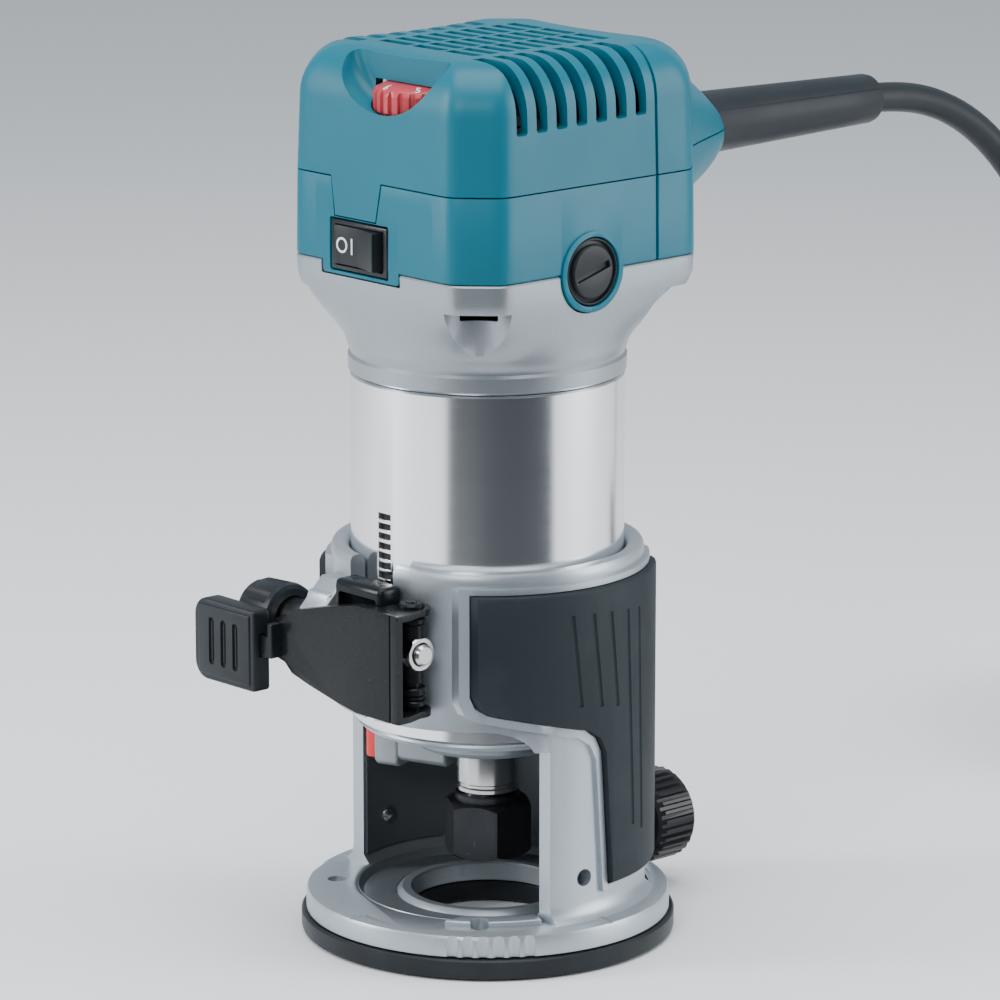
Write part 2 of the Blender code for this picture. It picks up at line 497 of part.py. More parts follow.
def switch_and_dial():
    pivot = Vector((SWITCH_X, -31, SWITCH_Z))
    outline = [(-7.9, -6.2), (0, -5), (7.9, -6.2), (7.9, -3), (2.5, 1), (-2.5, 1), (-7.9, -3)]
    rocker = prism(outline, "Z", -4.6, 4.6)
    rocker.transform(Matrix.Translation(pivot) @ Matrix.Rotation(math.radians(-7), 4, "Z"))
    keep("switch_rocker", rocker, BLACK, pivot)
    dial = [(0, 3.4), (DIAL_RADIUS - 1, 3.4), (DIAL_RADIUS, 2.6), (DIAL_RADIUS, -2.6),
            (DIAL_RADIUS - 1, -3.4), (0, -3.4)]
    place = (DIAL_X, DIAL_Y, DIAL_Z)
    keep("speed_dial", turned(dial, 32, centre=place), RED, place)


# ---- the cord ----
def wire(name, points, radius, look, detail=2):
    """A round wire or tube along a line of points, with closed ends."""
    curve = bpy.data.curves.new(name, "CURVE")
    curve.dimensions = "3D"
    line = curve.splines.new("POLY")
    line.points.add(len(points) - 1)
    for spot, point in zip(line.points, points):
        spot.co = (*(Vector(point) * MM), 1)
    curve.bevel_depth = radius * MM
    curve.bevel_resolution = detail
    curve.use_fill_caps = True
    curve.materials.append(finish_of(name + "_" + look[0], *look[1:]))
    made = bpy.data.objects.new(name, curve)
    made.parent = base_point
    router.objects.link(made)


def smooth(route, step):
    """Points along a smooth curve through a route, about a step apart."""
    route = [Vector(p) for p in route]
    ends = [2 * route[0] - route[1], *route, 2 * route[-1] - route[-2]]
    fine = []
    for a, b, c, d in zip(ends, ends[1:], ends[2:], ends[3:]):
        for k in range(12):
            t = k / 12
            fine.append(0.5 * (2 * b + (c - a) * t + (2 * a - 5 * b + 4 * c - d) * t * t
                               + (3 * b - 3 * c + d - a) * t ** 3))
    fine.append(route[-1])
    kept, since = [fine[0]], 0.0
    for before, point in zip(fine, fine[1:]):
        since += (point - before).length
        if since >= step:
            kept.append(point)
            since = 0.0
    if (kept[-1] - fine[-1]).length < step / 2:
        kept.pop()
    return [*kept, fine[-1]]


CORD_ROUTE = [
    (0, 128.4, 188), (0, 138, 187.8), (0, 148, 186.2), (0, 160, 182), (0.5, 171, 175), (2, 181, 164.5),
    (4, 189.5, 150), (6.5, 196, 132), (9.5, 200.5, 112), (13, 203.5, 91), (17, 206, 70), (21.5, 208.8, 50),
    (26.5, 212, 34), (32.5, 216.8, 22), (39.5, 222.5, 15.5),
]


def tail_route():
    """The cord's last stretch: along the top of the coil, then up into the plug."""
    low, high = COIL_TOP + CORD_RADIUS + 0.4, PLUG_Z
    points = []
    for k in range(9):
        turn = math.radians(240 + 105 * k / 8)
        points.append((COIL_X + COIL_RADIUS * math.cos(turn), COIL_Y + COIL_RADIUS * math.sin(turn) - 19.2 * k / 8,
                       low + (high - low) * min(1, k / 7.6) ** 1.5))
    return [*points, (PLUG_X, PLUG_TAIL - 2, PLUG_Z)]


def cord():
    wire("power_cord", smooth(CORD_ROUTE, 12), CORD_RADIUS, RUBBER)
    wire("cord_end", smooth(tail_route(), 14), CORD_RADIUS, RUBBER)
    out, side = COIL_RADIUS + COIL_HALF, COIL_RADIUS - COIL_HALF
    ring = [(out, COIL_TOP - 3), (out, 2.5), (out - 3, 0.2), (side + 3, 0.2), (side, 2.5), (side, COIL_TOP - 3),
            (side + 3, COIL_TOP), (out - 3, COIL_TOP)]
    keep("cord_coil", turned(ring, 32, centre=(COIL_X, COIL_Y, 0)), RUBBER)
    long = PLUG_FACE - PLUG_TAIL
    profile = [(0, long), (17, long), (17.8, long - 1), (17.8, long - 9), (14.5, long - 16), (11, long - 26),
               (6.5, long - 30), (5, 0), (0, 0)]
    body = turned(profile, 24)
    body.transform(Matrix.Scale(0.74, 4, (1, 0, 0)))
    body.transform(Matrix.Translation((PLUG_X, PLUG_TAIL, PLUG_Z)) @ turn_to((0, 1, 0))
                   @ Matrix.Rotation(math.radians(90), 4, "Z"))
    keep("plug_body", body, BLACK)
    for number, side in ((1, -1), (2, 1)):
        x = PLUG_X + side * 9.5
        keep(f"plug_pin_{number}", rod((x, PLUG_FACE + GAP, PLUG_Z), (x, PLUG_FACE + 19, PLUG_Z), 2.4), BRASS)


base_casting()
base_flange()
sole()
grips()
clamp()
lever()
pinion()
guide_screw()
head()
motor_body()
lock_button()
rotor()
switch_and_dial()
cord()
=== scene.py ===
# Looks for the compact trim router: every visible piece, its finish, the cord, light and camera.
# Shapes are drawn in millimetres round the spindle's axis and placed in the frame when they are done.
import math
from itertools import pairwise

import bmesh
import bpy
from mathutils import Matrix, Vector


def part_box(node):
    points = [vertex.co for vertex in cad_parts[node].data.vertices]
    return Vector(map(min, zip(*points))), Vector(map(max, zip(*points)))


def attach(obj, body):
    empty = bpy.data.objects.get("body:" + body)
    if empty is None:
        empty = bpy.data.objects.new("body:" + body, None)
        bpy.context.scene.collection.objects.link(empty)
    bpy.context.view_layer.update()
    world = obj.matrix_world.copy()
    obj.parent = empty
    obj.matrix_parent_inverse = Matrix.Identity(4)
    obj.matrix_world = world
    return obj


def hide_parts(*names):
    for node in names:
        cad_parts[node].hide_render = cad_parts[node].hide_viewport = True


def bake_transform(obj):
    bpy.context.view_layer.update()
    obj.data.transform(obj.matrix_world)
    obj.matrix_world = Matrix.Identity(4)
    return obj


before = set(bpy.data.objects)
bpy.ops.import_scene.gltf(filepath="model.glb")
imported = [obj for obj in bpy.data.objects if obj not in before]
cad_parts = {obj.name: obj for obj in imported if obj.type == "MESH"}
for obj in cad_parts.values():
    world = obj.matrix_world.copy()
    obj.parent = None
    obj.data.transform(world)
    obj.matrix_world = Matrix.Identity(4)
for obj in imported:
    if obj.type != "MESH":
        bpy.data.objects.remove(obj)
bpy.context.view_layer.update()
mm = 0.001
tubeLow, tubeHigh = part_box("motor_tube")
axis = Vector(((tubeLow[0] + tubeHigh[0]) / 2, (tubeLow[1] + tubeHigh[1]) / 2, 0))
place = Matrix.Translation(axis) @ Matrix.Scale(mm, 4)


def inFrame(point):
    return place @ Vector(point)


# ---- camera, light and floor ----
cameraSettings = {"turn": 48, "distance": 1237, "height": 396, "lens": 192.5, "aimAt": (2.0, 2.2, 105)}


def makeCamera(values):
    turn = math.radians(values["turn"])
    eye = Vector((values["distance"] * math.sin(turn), -values["distance"] * math.cos(turn),
                  values["height"]))
    data = bpy.data.cameras.new("camera")
    data.lens = values["lens"]
    data.clip_end = 20
    camera = bpy.data.objects.new("camera", data)
    camera.location = inFrame(eye)
    look = Vector(values["aimAt"]) - eye
    camera.rotation_euler = look.to_track_quat("-Z", "Y").to_euler()
    bpy.context.scene.collection.objects.link(camera)
    bpy.context.scene.camera = camera


# the room's light and dark sides; each light is its place, its width and height in metres, and its watts
studioValues = {"bright": (0.82, 0.9, 1.0), "dim": (0.12, 0.14, 0.16), "darkSide": (0.86, -0.5, 0.08),
                "strength": 0.62, "aimAt": (0, 0, 110), "lights": {
                    "keyLight": ((-650, -900, 520), (0.25, 0.7), 10),
                    "sideLight": ((800, 700, 420), (0.5, 0.8), 9),
                    "topLight": ((60, -60, 950), (0.8, 0.8), 10),
                    "frontLight": ((500, -900, 650), (0.4, 0.3), 4)}}
floorValues = {"half": 3000, "drop": 0.4}
cardValues = {"middle": -31, "half": 44, "step": 4, "near": 170, "far": 2600, "lift": 0.2}


def areaLight(name, spot, size, power):
    data = bpy.data.lights.new(name, "AREA")
    data.shape = "RECTANGLE"
    data.size, data.size_y = size
    data.energy = power
    light = bpy.data.objects.new(name, data)
    light.location = inFrame(spot)
    look = Vector(studioValues["aimAt"]) - Vector(spot)
    light.rotation_euler = look.to_track_quat("-Z", "Y").to_euler()
    bpy.context.scene.collection.objects.link(light)


def makeRoom():
    # an even grey room that is darker on the camera's side, so that polished metal has something to show
    world = bpy.data.worlds.new("studio")
    world.use_nodes = True
    start = Link(world.node_tree)
    direction = start.node("ShaderNodeTexCoord")
    facing = start.node("ShaderNodeVectorMath", {"operation": "DOT_PRODUCT"},
                        {0: direction, 1: studioValues["darkSide"]}, output=1)
    shade = start.mix(facing.over(0.45, 0.8), studioValues["bright"], studioValues["dim"])
    world.node_tree.links.new(shade.socket, world.node_tree.nodes["Background"].inputs["Color"])
    world.node_tree.nodes["Background"].inputs["Strength"].default_value = studioValues["strength"]
    bpy.context.scene.world = world


def stageObject(name, bm, paint):
    mesh = meshOf(bm, name)
    mesh.transform(place)
    mesh.materials.append(paint)
    return objectOf(mesh, name)


def makeFloor():
    bm = bmesh.new()
    bmesh.ops.create_grid(bm, x_segments=1, y_segments=1, size=floorValues["half"])
    bmesh.ops.translate(bm, vec=(0, 0, -floorValues["drop"]), verts=bm.verts)
    return stageObject("floor", bm, floorPaint())


def makeDarkCard():
    # a dark card on the floor before the tool, seen only in polished metal
    values = cardValues
    turns = [math.radians(values["middle"] + t)
             for t in range(-values["half"], values["half"] + 1, values["step"])]
    bm = bmesh.new()
    bm.faces.new([bm.verts.new((reach * math.cos(t), reach * math.sin(t), values["lift"]))
                  for reach, order in ((values["near"], turns), (values["far"], turns[::-1])) for t in order])
    card = stageObject("darkCard", bm, cardPaint())
    card.visible_camera = card.visible_diffuse = card.visible_shadow = False
    return card


def makeStudio():
    makeRoom()
    for name, light in studioValues["lights"].items():
        areaLight(name, *light)
    makeFloor()
    makeDarkCard()


# ---- shader maths ----
class Link:
    # an output socket; sums and products of links and numbers add their Math nodes
    def __init__(self, tree, socket=None):
        self.tree = tree
        self.socket = socket

    def node(self, kind, settings=None, inputs=None, output=0):
        made = self.tree.nodes.new(kind)
        for key, value in (settings or {}).items():
            setattr(made, key, value)
        for key, value in (inputs or {}).items():
            if isinstance(value, Link):
                self.tree.links.new(value.socket, made.inputs[key])
            else:
                made.inputs[key].default_value = value
        return Link(self.tree, made.outputs[output])

    def maths(self, operation, other):
        return self.node("ShaderNodeMath", {"operation": operation}, {0: self, 1: other})

    def __add__(self, other):
        return self.maths("ADD", other)

    def __sub__(self, other):
        return self.maths("SUBTRACT", other)

    def __mul__(self, other):
        return self.maths("MULTIPLY", other)

    def over(self, low, high):
        # 0 below low and 1 above high, with a soft step between
        return self.node("ShaderNodeMapRange", {"interpolation_type": "SMOOTHSTEP"},
                         {"Value": self, "From Min": low, "From Max": high})

    def mix(self, amount, first, second):
        made = self.tree.nodes.new("ShaderNodeMix")
        made.data_type = "RGBA"
        for key, value in ((0, amount), (6, first), (7, second)):
            if isinstance(value, Link):
                self.tree.links.new(value.socket, made.inputs[key])
            else:
                made.inputs[key].default_value = value if key == 0 else (*value, 1)
        return Link(self.tree, made.outputs[2])


class Finish:
    # one material: its Principled shader, and the patterns that are read on object coordinates
    def __init__(self, name, uniform):
        self.material = bpy.data.materials.new(name)
        self.material.use_nodes = True
        self.tree = self.material.node_tree
        self.shader = self.tree.nodes["Principled BSDF"]
        self.start = Link(self.tree)
        self.spot = self.start.node("ShaderNodeTexCoord", output=3)
        for key, value in uniform.items():
            self.shader.inputs[key].default_value = (*value, 1) if isinstance(value, tuple) else value

    def stretched(self, scale):
        return self.start.node("ShaderNodeMapping", None, {"Vector": self.spot, "Scale": scale})

    def noise(self, scale, detail=3.0, where=None):
        return self.start.node("ShaderNodeTexNoise", None,
                               {"Vector": where or self.spot, "Scale": scale, "Detail": detail})

    def cells(self, scale):
        return self.start.node("ShaderNodeTexVoronoi", None, {"Vector": self.spot, "Scale": scale})

    def feed(self, key, link):
        self.tree.links.new(link.socket, self.shader.inputs[key])
        return self

    def bump(self, height, strength, distance):
        made = self.start.node("ShaderNodeBump", None,
                               {"Height": height, "Strength": strength, "Distance": distance})
        return self.feed("Normal", made)


tealLook = {"colour": (0.0, 0.118, 0.175), "pale": (0.003, 0.15, 0.212), "grain": 5200}
silverLook = {"colour": (0.47, 0.52, 0.56), "dark": (0.33, 0.37, 0.41), "fleck": 5200}
rubberLook = {"colour": (0.013, 0.02, 0.025), "pale": (0.026, 0.036, 0.043)}


def tealPlastic():
    made = Finish("tealPlastic", {"Specular IOR Level": 0.28})
    cloud = made.noise(38, 2)
    made.feed("Base Color", made.start.mix(cloud.over(0.3, 0.8) * 0.25, tealLook["colour"], tealLook["pale"]))
    made.feed("Roughness", made.noise(120, 3) * 0.12 + 0.34)
    return made.bump(made.noise(tealLook["grain"], 2), 0.16, 0.00004).material


def silverPaint(name="silverPaint", tone=1.0, metal=0.72):
    made = Finish(name, {"Metallic": metal, "Coat Weight": 0.25, "Coat Roughness": 0.3})
    fleck = made.cells(silverLook["fleck"])
    light = tuple(min(1, c * tone) for c in silverLook["colour"])
    dark = tuple(c * tone for c in silverLook["dark"])
    made.feed("Base Color", made.start.mix(fleck.over(0.1, 0.6) * 0.5, light, dark))
    made.feed("Roughness", made.noise(260, 4) * 0.14 + 0.33)
    peel = made.noise(900, 2) + made.noise(4200, 2) * 0.5
    return made.bump(peel, 0.22, 0.00008).material


def polishedTube():
    made = Finish("polishedTube", {"Metallic": 1.0, "Anisotropic": 0.35})
    lines = made.noise(1, 4, made.stretched((30, 30, 9000)))
    wide = made.noise(1, 2, made.stretched((20, 20, 900)))
    made.feed("Base Color", made.start.mix(wide, (0.8, 0.82, 0.84), (0.88, 0.89, 0.9)))
    made.feed("Roughness", lines * 0.1 + wide * 0.05 + 0.1)
    return made.bump(lines, 0.05, 0.00002).material


def brightSteel(name="brightSteel", tone=(0.56, 0.56, 0.55)):
    made = Finish(name, {"Metallic": 1.0})
    lines = made.noise(1, 3, made.stretched((400, 400, 6000)))
    made.feed("Base Color", made.start.mix(made.noise(300), tone, tuple(c * 0.86 for c in tone)))
    made.feed("Roughness", lines * 0.06 + 0.2)
    return made.bump(lines, 0.05, 0.00001).material


def blackSteel():
    made = Finish("blackSteel", {"Specular IOR Level": 0.14, "Coat Weight": 0.1, "Coat Roughness": 0.12})
    wear = made.noise(900, 4).over(0.68, 0.74)
    made.feed("Base Color", made.start.mix(wear * 0.2, (0.007, 0.009, 0.011), (0.08, 0.08, 0.08)))
    made.feed("Roughness", made.noise(300, 4) * 0.2 + 0.18)
    return made.bump(made.noise(700, 3), 0.12, 0.00005).material


def blackOxide():
    made = Finish("blackOxide", {"Metallic": 0.8})
    wear = made.noise(1200, 4).over(0.62, 0.74)
    made.feed("Base Color", made.start.mix(wear * 0.3, (0.035, 0.037, 0.041), (0.14, 0.14, 0.14)))
    made.feed("Roughness", made.noise(500, 4) * 0.2 + 0.28)
    return made.bump(made.noise(2600, 3), 0.2, 0.00005).material


def blackPlastic(name="blackPlastic", colour=(0.01, 0.013, 0.016), rough=0.4, grain=3800):
    made = Finish(name, {"Specular IOR Level": 0.25})
    pale = tuple(c * 1.8 + 0.004 for c in colour)
    made.feed("Base Color", made.start.mix(made.noise(90, 3).over(0.35, 0.75) * 0.5, colour, pale))
    made.feed("Roughness", made.noise(200, 3) * 0.14 + rough - 0.07)
    return made.bump(made.noise(grain, 2), 0.2, 0.00005).material


def gripRubber():
    made = Finish("gripRubber", {"Specular IOR Level": 0.25})
    dust = made.noise(70, 4).over(0.45, 0.8)
    made.feed("Base Color", made.start.mix(dust * 0.4, rubberLook["colour"], rubberLook["pale"]))
    made.feed("Roughness", made.noise(180, 3) * 0.12 + 0.56)
    return made.bump(made.cells(3600), 0.25, 0.00006).material


def cordRubber():
    made = Finish("cordRubber", {"Specular IOR Level": 0.22})
    made.feed("Base Color", made.start.mix(made.noise(60, 3), (0.011, 0.015, 0.019), (0.018, 0.023, 0.028)))
    made.feed("Roughness", made.noise(150, 4) * 0.16 + 0.36)
    return made.bump(made.noise(1800, 3), 0.14, 0.00005).material


def redPlastic(name="redPlastic", colour=(0.8, 0.016, 0.014)):
    made = Finish(name, {"Coat Weight": 0.2, "Coat Roughness": 0.25})
    dark = tuple(c * 0.75 for c in colour)
    made.feed("Base Color", made.start.mix(made.noise(160, 3).over(0.3, 0.8) * 0.4, colour, dark))
    made.feed("Roughness", made.noise(300, 3) * 0.12 + 0.3)
    return made.bump(made.noise(3000, 2), 0.1, 0.00004).material


def warmMetal(name, colour, rough):
    made = Finish(name, {"Metallic": 1.0})
    made.feed("Base Color", made.start.mix(made.noise(400, 3), colour, tuple(c * 0.7 for c in colour)))
    made.feed("Roughness", made.noise(600, 3) * 0.15 + rough)
    return made.bump(made.noise(2500, 2), 0.1, 0.00003).material


def markPaint():
    made = Finish("markPaint", {})
    made.feed("Base Color", made.start.mix(made.noise(800, 2), (0.82, 0.84, 0.85), (0.738, 0.756, 0.765)))
    made.feed("Roughness", made.noise(400, 2) * 0.1 + 0.45)
    return made.material


def floorPaint():
    made = Finish("floorPaint", {"Specular IOR Level": 0.2})
    made.feed("Base Color", made.start.mix(made.noise(2, 2), (0.86, 0.87, 0.88), (0.84, 0.85, 0.86)))
    made.feed("Roughness", made.noise(30, 2) * 0.1 + 0.6)
    return made.material


def cardPaint():
    made = Finish("cardPaint", {})
    made.feed("Base Color", made.start.mix(made.noise(3, 2), (0.03, 0.035, 0.04), (0.05, 0.055, 0.06)))
    return made.material


# ---- shaping ----
def meshOf(bm, name="shape"):
    bmesh.ops.remove_doubles(bm, verts=bm.verts, dist=1e-5)
    bmesh.ops.recalc_face_normals(bm, faces=bm.faces)
    mesh = bpy.data.meshes.new(name)
    bm.to_mesh(mesh)
    bm.free()
    return mesh


def toward(direction):
    return Vector((0, 0, 1)).rotation_difference(Vector(direction)).to_matrix().to_4x4()


def spun(profile, steps=96, centre=(0, 0, 0), along=(0, 0, 1)):
    bm = bmesh.new()
    line = [bm.verts.new((r, 0, z)) for r, z in profile]
    parts = [bm.edges.new(pair) for pair in pairwise(line)]
    if profile[0][0] > 0 or profile[-1][0] > 0:
        parts.append(bm.edges.new((line[-1], line[0])))
    bmesh.ops.spin(bm, geom=line + parts, cent=(0, 0, 0), axis=(0, 0, 1), dvec=(0, 0, 0), angle=math.tau,
                   steps=steps, use_merge=True, use_duplicate=False)
    bmesh.ops.transform(bm, matrix=Matrix.Translation(centre) @ toward(along), verts=bm.verts)
    return meshOf(bm)


def rod(start, end, radius, sides=48):
    start, end = Vector(start), Vector(end)
    bm = bmesh.new()
    bmesh.ops.create_cone(bm, cap_ends=True, segments=sides, radius1=radius, radius2=radius,
                          depth=(end - start).length)
    bmesh.ops.transform(bm, matrix=Matrix.Translation((start + end) / 2) @ toward(end - start),
                        verts=bm.verts)
    return meshOf(bm)


def rounded(bm, width):
    if width:
        bmesh.ops.recalc_face_normals(bm, faces=bm.faces)
        bmesh.ops.bevel(bm, geom=bm.edges[:], offset=width, affect="EDGES", segments=3, profile=0.5,
                        material=-1)


def block(low, high, soft=0.0):
    low, high = Vector(low), Vector(high)
    bm = bmesh.new()
    bmesh.ops.create_cube(bm, size=1)
    bmesh.ops.scale(bm, vec=high - low, verts=bm.verts)
    bmesh.ops.translate(bm, vec=(low + high) / 2, verts=bm.verts)
    rounded(bm, soft)
    return meshOf(bm)


def prism(outline, along, low, high, soft=0.0):
    spots = {"X": lambda a, b: (low, a, b), "Y": lambda a, b: (a, low, b), "Z": lambda a, b: (a, b, low)}
    step = Vector({"X": (1, 0, 0), "Y": (0, 1, 0), "Z": (0, 0, 1)}[along]) * (high - low)
    bm = bmesh.new()
    face = bm.faces.new([bm.verts.new(spots[along](a, b)) for a, b in outline])
    pushed = bmesh.ops.extrude_face_region(bm, geom=[face], use_keep_orig=True)["geom"]
    bmesh.ops.translate(bm, vec=step, verts=[v for v in pushed if isinstance(v, bmesh.types.BMVert)])
    rounded(bm, soft)
    return meshOf(bm)


def arc(centre, radius, start, end, steps):
    turns = [math.radians(start + (end - start) * k / steps) for k in range(steps + 1)]
    return [(centre[0] + radius * math.cos(t), centre[1] + radius * math.sin(t)) for t in turns]


def together(*meshes):
    bm = bmesh.new()
    for mesh in meshes:
        bm.from_mesh(mesh)
    mesh = bpy.data.meshes.new("shapes")
    bm.to_mesh(mesh)
    bm.free()
    return mesh


def objectOf(mesh, name="shape"):
    made = bpy.data.objects.new(name, mesh)
    bpy.context.scene.collection.objects.link(made)
    return made


def shaped(mesh, *steps):
    # runs Booleans on a mesh: each step is ("cut", mesh), ("add", mesh) or ("keep", mesh)
    words = {"cut": "DIFFERENCE", "add": "UNION", "keep": "INTERSECT"}
    work = objectOf(mesh)
    tools = []
    for action, tool in steps:
        tools.append(objectOf(tool))
        step = work.modifiers.new(action, "BOOLEAN")
        step.operation = words[action]
        step.solver = "EXACT"
        step.object = tools[-1]
    result = bpy.data.meshes.new_from_object(work.evaluated_get(bpy.context.evaluated_depsgraph_get()))
    for old in [work, *tools]:
        bpy.data.objects.remove(old)
    return result


def softened(mesh, width, segments=2, angle=32):
    # rounds the sharp edges of a mesh
    work = objectOf(mesh)
    bevel = work.modifiers.new("edges", "BEVEL")
    bevel.width = width
    bevel.segments = segments
    bevel.limit_method = "ANGLE"
    bevel.angle_limit = math.radians(angle)
    bevel.use_clamp_overlap = True
    result = bpy.data.meshes.new_from_object(work.evaluated_get(bpy.context.evaluated_depsgraph_get()))
    bpy.data.objects.remove(work)
    return result


def finished(name, mesh, look, body, standsFor=(), smooth=35):
    mesh.transform(place)
    mesh.materials.clear()
    mesh.materials.append(look)
    for face in mesh.polygons:
        face.use_smooth = True
    mesh.set_sharp_from_angle(angle=math.radians(smooth))
    made = objectOf(mesh, name)
    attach(made, body)
    if standsFor:
        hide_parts(*standsFor)
    return made


looks = {}


def makeLooks():
    looks.update(teal=tealPlastic(), silver=silverPaint(), tube=polishedTube(), steel=brightSteel(),
                 blackSteel=blackSteel(), black=blackPlastic(), grip=gripRubber(), cord=cordRubber(),
                 red=redPlastic(), dial=redPlastic("dialRed", (0.44, 0.03, 0.042)), mark=markPaint(),
                 grey=silverPaint("greyCasting", 0.62, 0.5),
                 # dark plastic of the inner parts, also used as painted shade behind the rack slots and under
                 # the vents
                 darkInside=blackPlastic("darkInside", (0.01, 0.012, 0.014), 0.6),
                 copper=warmMetal("copperWire", (0.72, 0.32, 0.17), 0.3),
                 brass=warmMetal("plainBrass", (0.75, 0.55, 0.26), 0.25),
                 blackOxide=blackOxide(), brightSpring=brightSteel("brightSpring", (0.4, 0.4, 0.4)),
                 glossBlack=blackPlastic("glossBlack", (0.012, 0.013, 0.015), 0.25),
                 # a dark copy of the silver paint, painted shade for the inside of the column
                 collar=silverPaint("collarPaint", 0.74), liner=silverPaint("linerPaint", 0.3, 0.4))


# ---- the head: cover, shell and collar ----
headShape = {"side": 36.0, "front": 36.0, "back": 41.5, "corner": 44.6, "tube": 33.0, "power": 60,
             "sides": 288, "wall": 2.6, "top": 215.0, "rounding": 12.0, "seam": 165.6, "split": 185.6}
slotValues = {"first": -22.8, "pitch": 6.2, "width": 3.4, "count": 7, "low": 199.0, "high": 224,
              "inner": 19.8, "outer": 48}
grilleValues = {"columns": (-17.0, -5.4, 6.2), "long": 10.4, "first": -19.0, "pitch": 5.0, "width": 3.0,
                "rows": 9}
scoopValues = {"x": 2.6, "top": 217.0, "wide": 18.0, "deep": 15.6, "back": -27.6, "soft": 3.0}
collarValues = {"low": 137.3, "band": 143.5, "flare": 161.0, "top": 165.2, "ventZ": 158.2, "ventReach": 45.0,
                "rearReach": 2.4}
brushValues = {"z": 165.3, "capRadius": 8.0, "ringRadius": 9.5, "face": 36.5}
bossSections = [(30, 30, 170, 213.2, 5), (37, 27, 170.6, 211.2, 4), (44, 23.4, 171.2, 208.2, 3.3),
                (50, 20, 171.9, 205.9, 2.8), (56, 16.9, 173, 203.0, 2.4), (61, 14.4, 174.8, 199.8, 2.2),
                (64.6, 12.4, 176.8, 197.2, 2.1), (66.8, 11.1, 178.5, 195.5, 2), (67.6, 10.3, 179.5, 194.5, 2)]


def headReach(angle):
    values = headShape
    rear = math.sin(angle) > 0
    back = values["back"] if rear else values["front"]
    corner = values["corner"] + (values["back"] - values["front"]) * (0.7 if rear else 0)
    power = values["power"]
    total = (abs(math.cos(angle)) / values["side"]) ** power + (abs(math.sin(angle)) / back) ** power
    for tilt in (45, 135, 225, 315):
        total += (max(0.0, math.cos(angle - math.radians(tilt))) / corner) ** power
    return total ** (-1 / power)


def ringLoft(rings):
    # skins a list of rings of points and closes both ends
    bm = bmesh.new()
    loops = [[bm.verts.new(point) for point in ring] for ring in rings]
    count = len(loops[0])
    for low, high in pairwise(loops):
        for k in range(count):
            bm.faces.new((low[k], low[(k + 1) % count], high[(k + 1) % count], high[k]))
    bm.faces.new(loops[0])
    bm.faces.new(loops[-1])
    return meshOf(bm)


def headRing(level):
    z, share, inset = level
    values = headShape
    points = []
    for k in range(values["sides"]):
        turn = math.tau * (k + 0.5) / values["sides"]
        reach = values["tube"] * (1 - share) + headReach(turn) * share - inset
        points.append((reach * math.cos(turn), reach * math.sin(turn), z))
    return points


def coverLevels():
    values = headShape
    start = values["top"] - values["rounding"]
    levels = [(values["seam"] - 0.2, 1, 0.35), (values["seam"] + 0.25, 1, 0), (values["split"], 1, 0.3),
              (start, 1, 1.0)]
    for k in range(1, 11):
        turn = math.radians(9 * k)
        drop = values["rounding"] * (1 - math.cos(turn))
        levels.append((start + values["rounding"] * math.sin(turn), 1, 1.0 + drop))
    return levels


def bossMesh():
    rings = []
    for y, wide, low, high, power in bossSections:
        ring = []
        for k in range(96):
            turn = math.tau * k / 96
            c, s = math.cos(turn), math.sin(turn)
            reach = (abs(c) ** power + abs(s) ** power) ** (-1 / power)
            ring.append((wide * reach * c, y, (low + high) / 2 + (high - low) / 2 * reach * s))
        rings.append(ring)
    return ringLoft(rings)


def headSkin():
    values = headShape
    outside = coverLevels()
    skin = shaped(ringLoft([headRing(level) for level in outside]), ("add", bossMesh()))
    inside = [(values["seam"] - 3, 1, values["wall"])]
    inside += [(min(z, values["top"]) - (values["wall"] if z > 202 else 0), share, inset + values["wall"])
               for z, share, inset in outside[2:]]
    return shaped(skin, ("cut", ringLoft([headRing(level) for level in inside])))


def coverSolid(inset):
    return ringLoft([headRing((z, share, drop + inset)) for z, share, drop in coverLevels()])


def coverRegion(gap):
    # everything above the seam: level on the sides, stepped up at the cord, with a tongue in front
    z = headShape["split"] - gap
    side = [(-60, z), (32, z), (39, 188.2 - gap), (90, 188.2 - gap), (90, 240), (-60, 240)]
    tongue = [(-14.6, z + 1), (-12.9 - gap, 176.4 - gap), (1.2 + gap, 176.4 - gap), (3.2 + gap, z + 1)]
    return shaped(prism(side, "X", -70, 70), ("add", prism(tongue, "Y", -60, -25)))


def headGroove():
    # the panel line round the rear third of the head
    return shaped(block((-60, 20.4, 150), (60, 21.3, 230)), ("cut", coverSolid(0.7)))


def coverVents():
    values = slotValues
    cuts = []
    for side in (-1, 1):
        for k in range(values["count"]):
            y = values["first"] + values["pitch"] * k
            low = values["low"] + 0.15 * k
            near, far = sorted((side * values["inner"], side * values["outer"]))
            cuts.append(block((near, y, low), (far, y + values["width"], values["high"]), 0.7))
    grille = grilleValues
    for x in grille["columns"]:
        for row in range(grille["rows"]):
            y = grille["first"] + grille["pitch"] * row
            cuts.append(block((x, y, 207), (x + grille["long"], y + grille["width"], 224), 0.8))
    return together(*cuts)


def dialScoop():
    # an oval hollow cut in from the front, with a rounded meeting of its back wall
    values = scoopValues
    rings = []
    for depth, inset in ((-70, 0), (values["back"] - values["soft"], 0), *(
            (values["back"] - values["soft"] * (1 - math.sin(math.radians(t))),
             values["soft"] * (1 - math.cos(math.radians(t)))) for t in (20, 40, 60, 80, 90))):
        wide, deep = values["wide"] - inset, values["deep"] - inset
        ring = [(values["x"] + wide * math.cos(math.radians(t)), depth,
                 values["top"] + deep * math.sin(math.radians(t))) for t in range(180, 361, 4)]
        rings.append([*ring, (values["x"] + wide, depth, 230), (values["x"] - wide, depth, 230)])
    return ringLoft(rings)


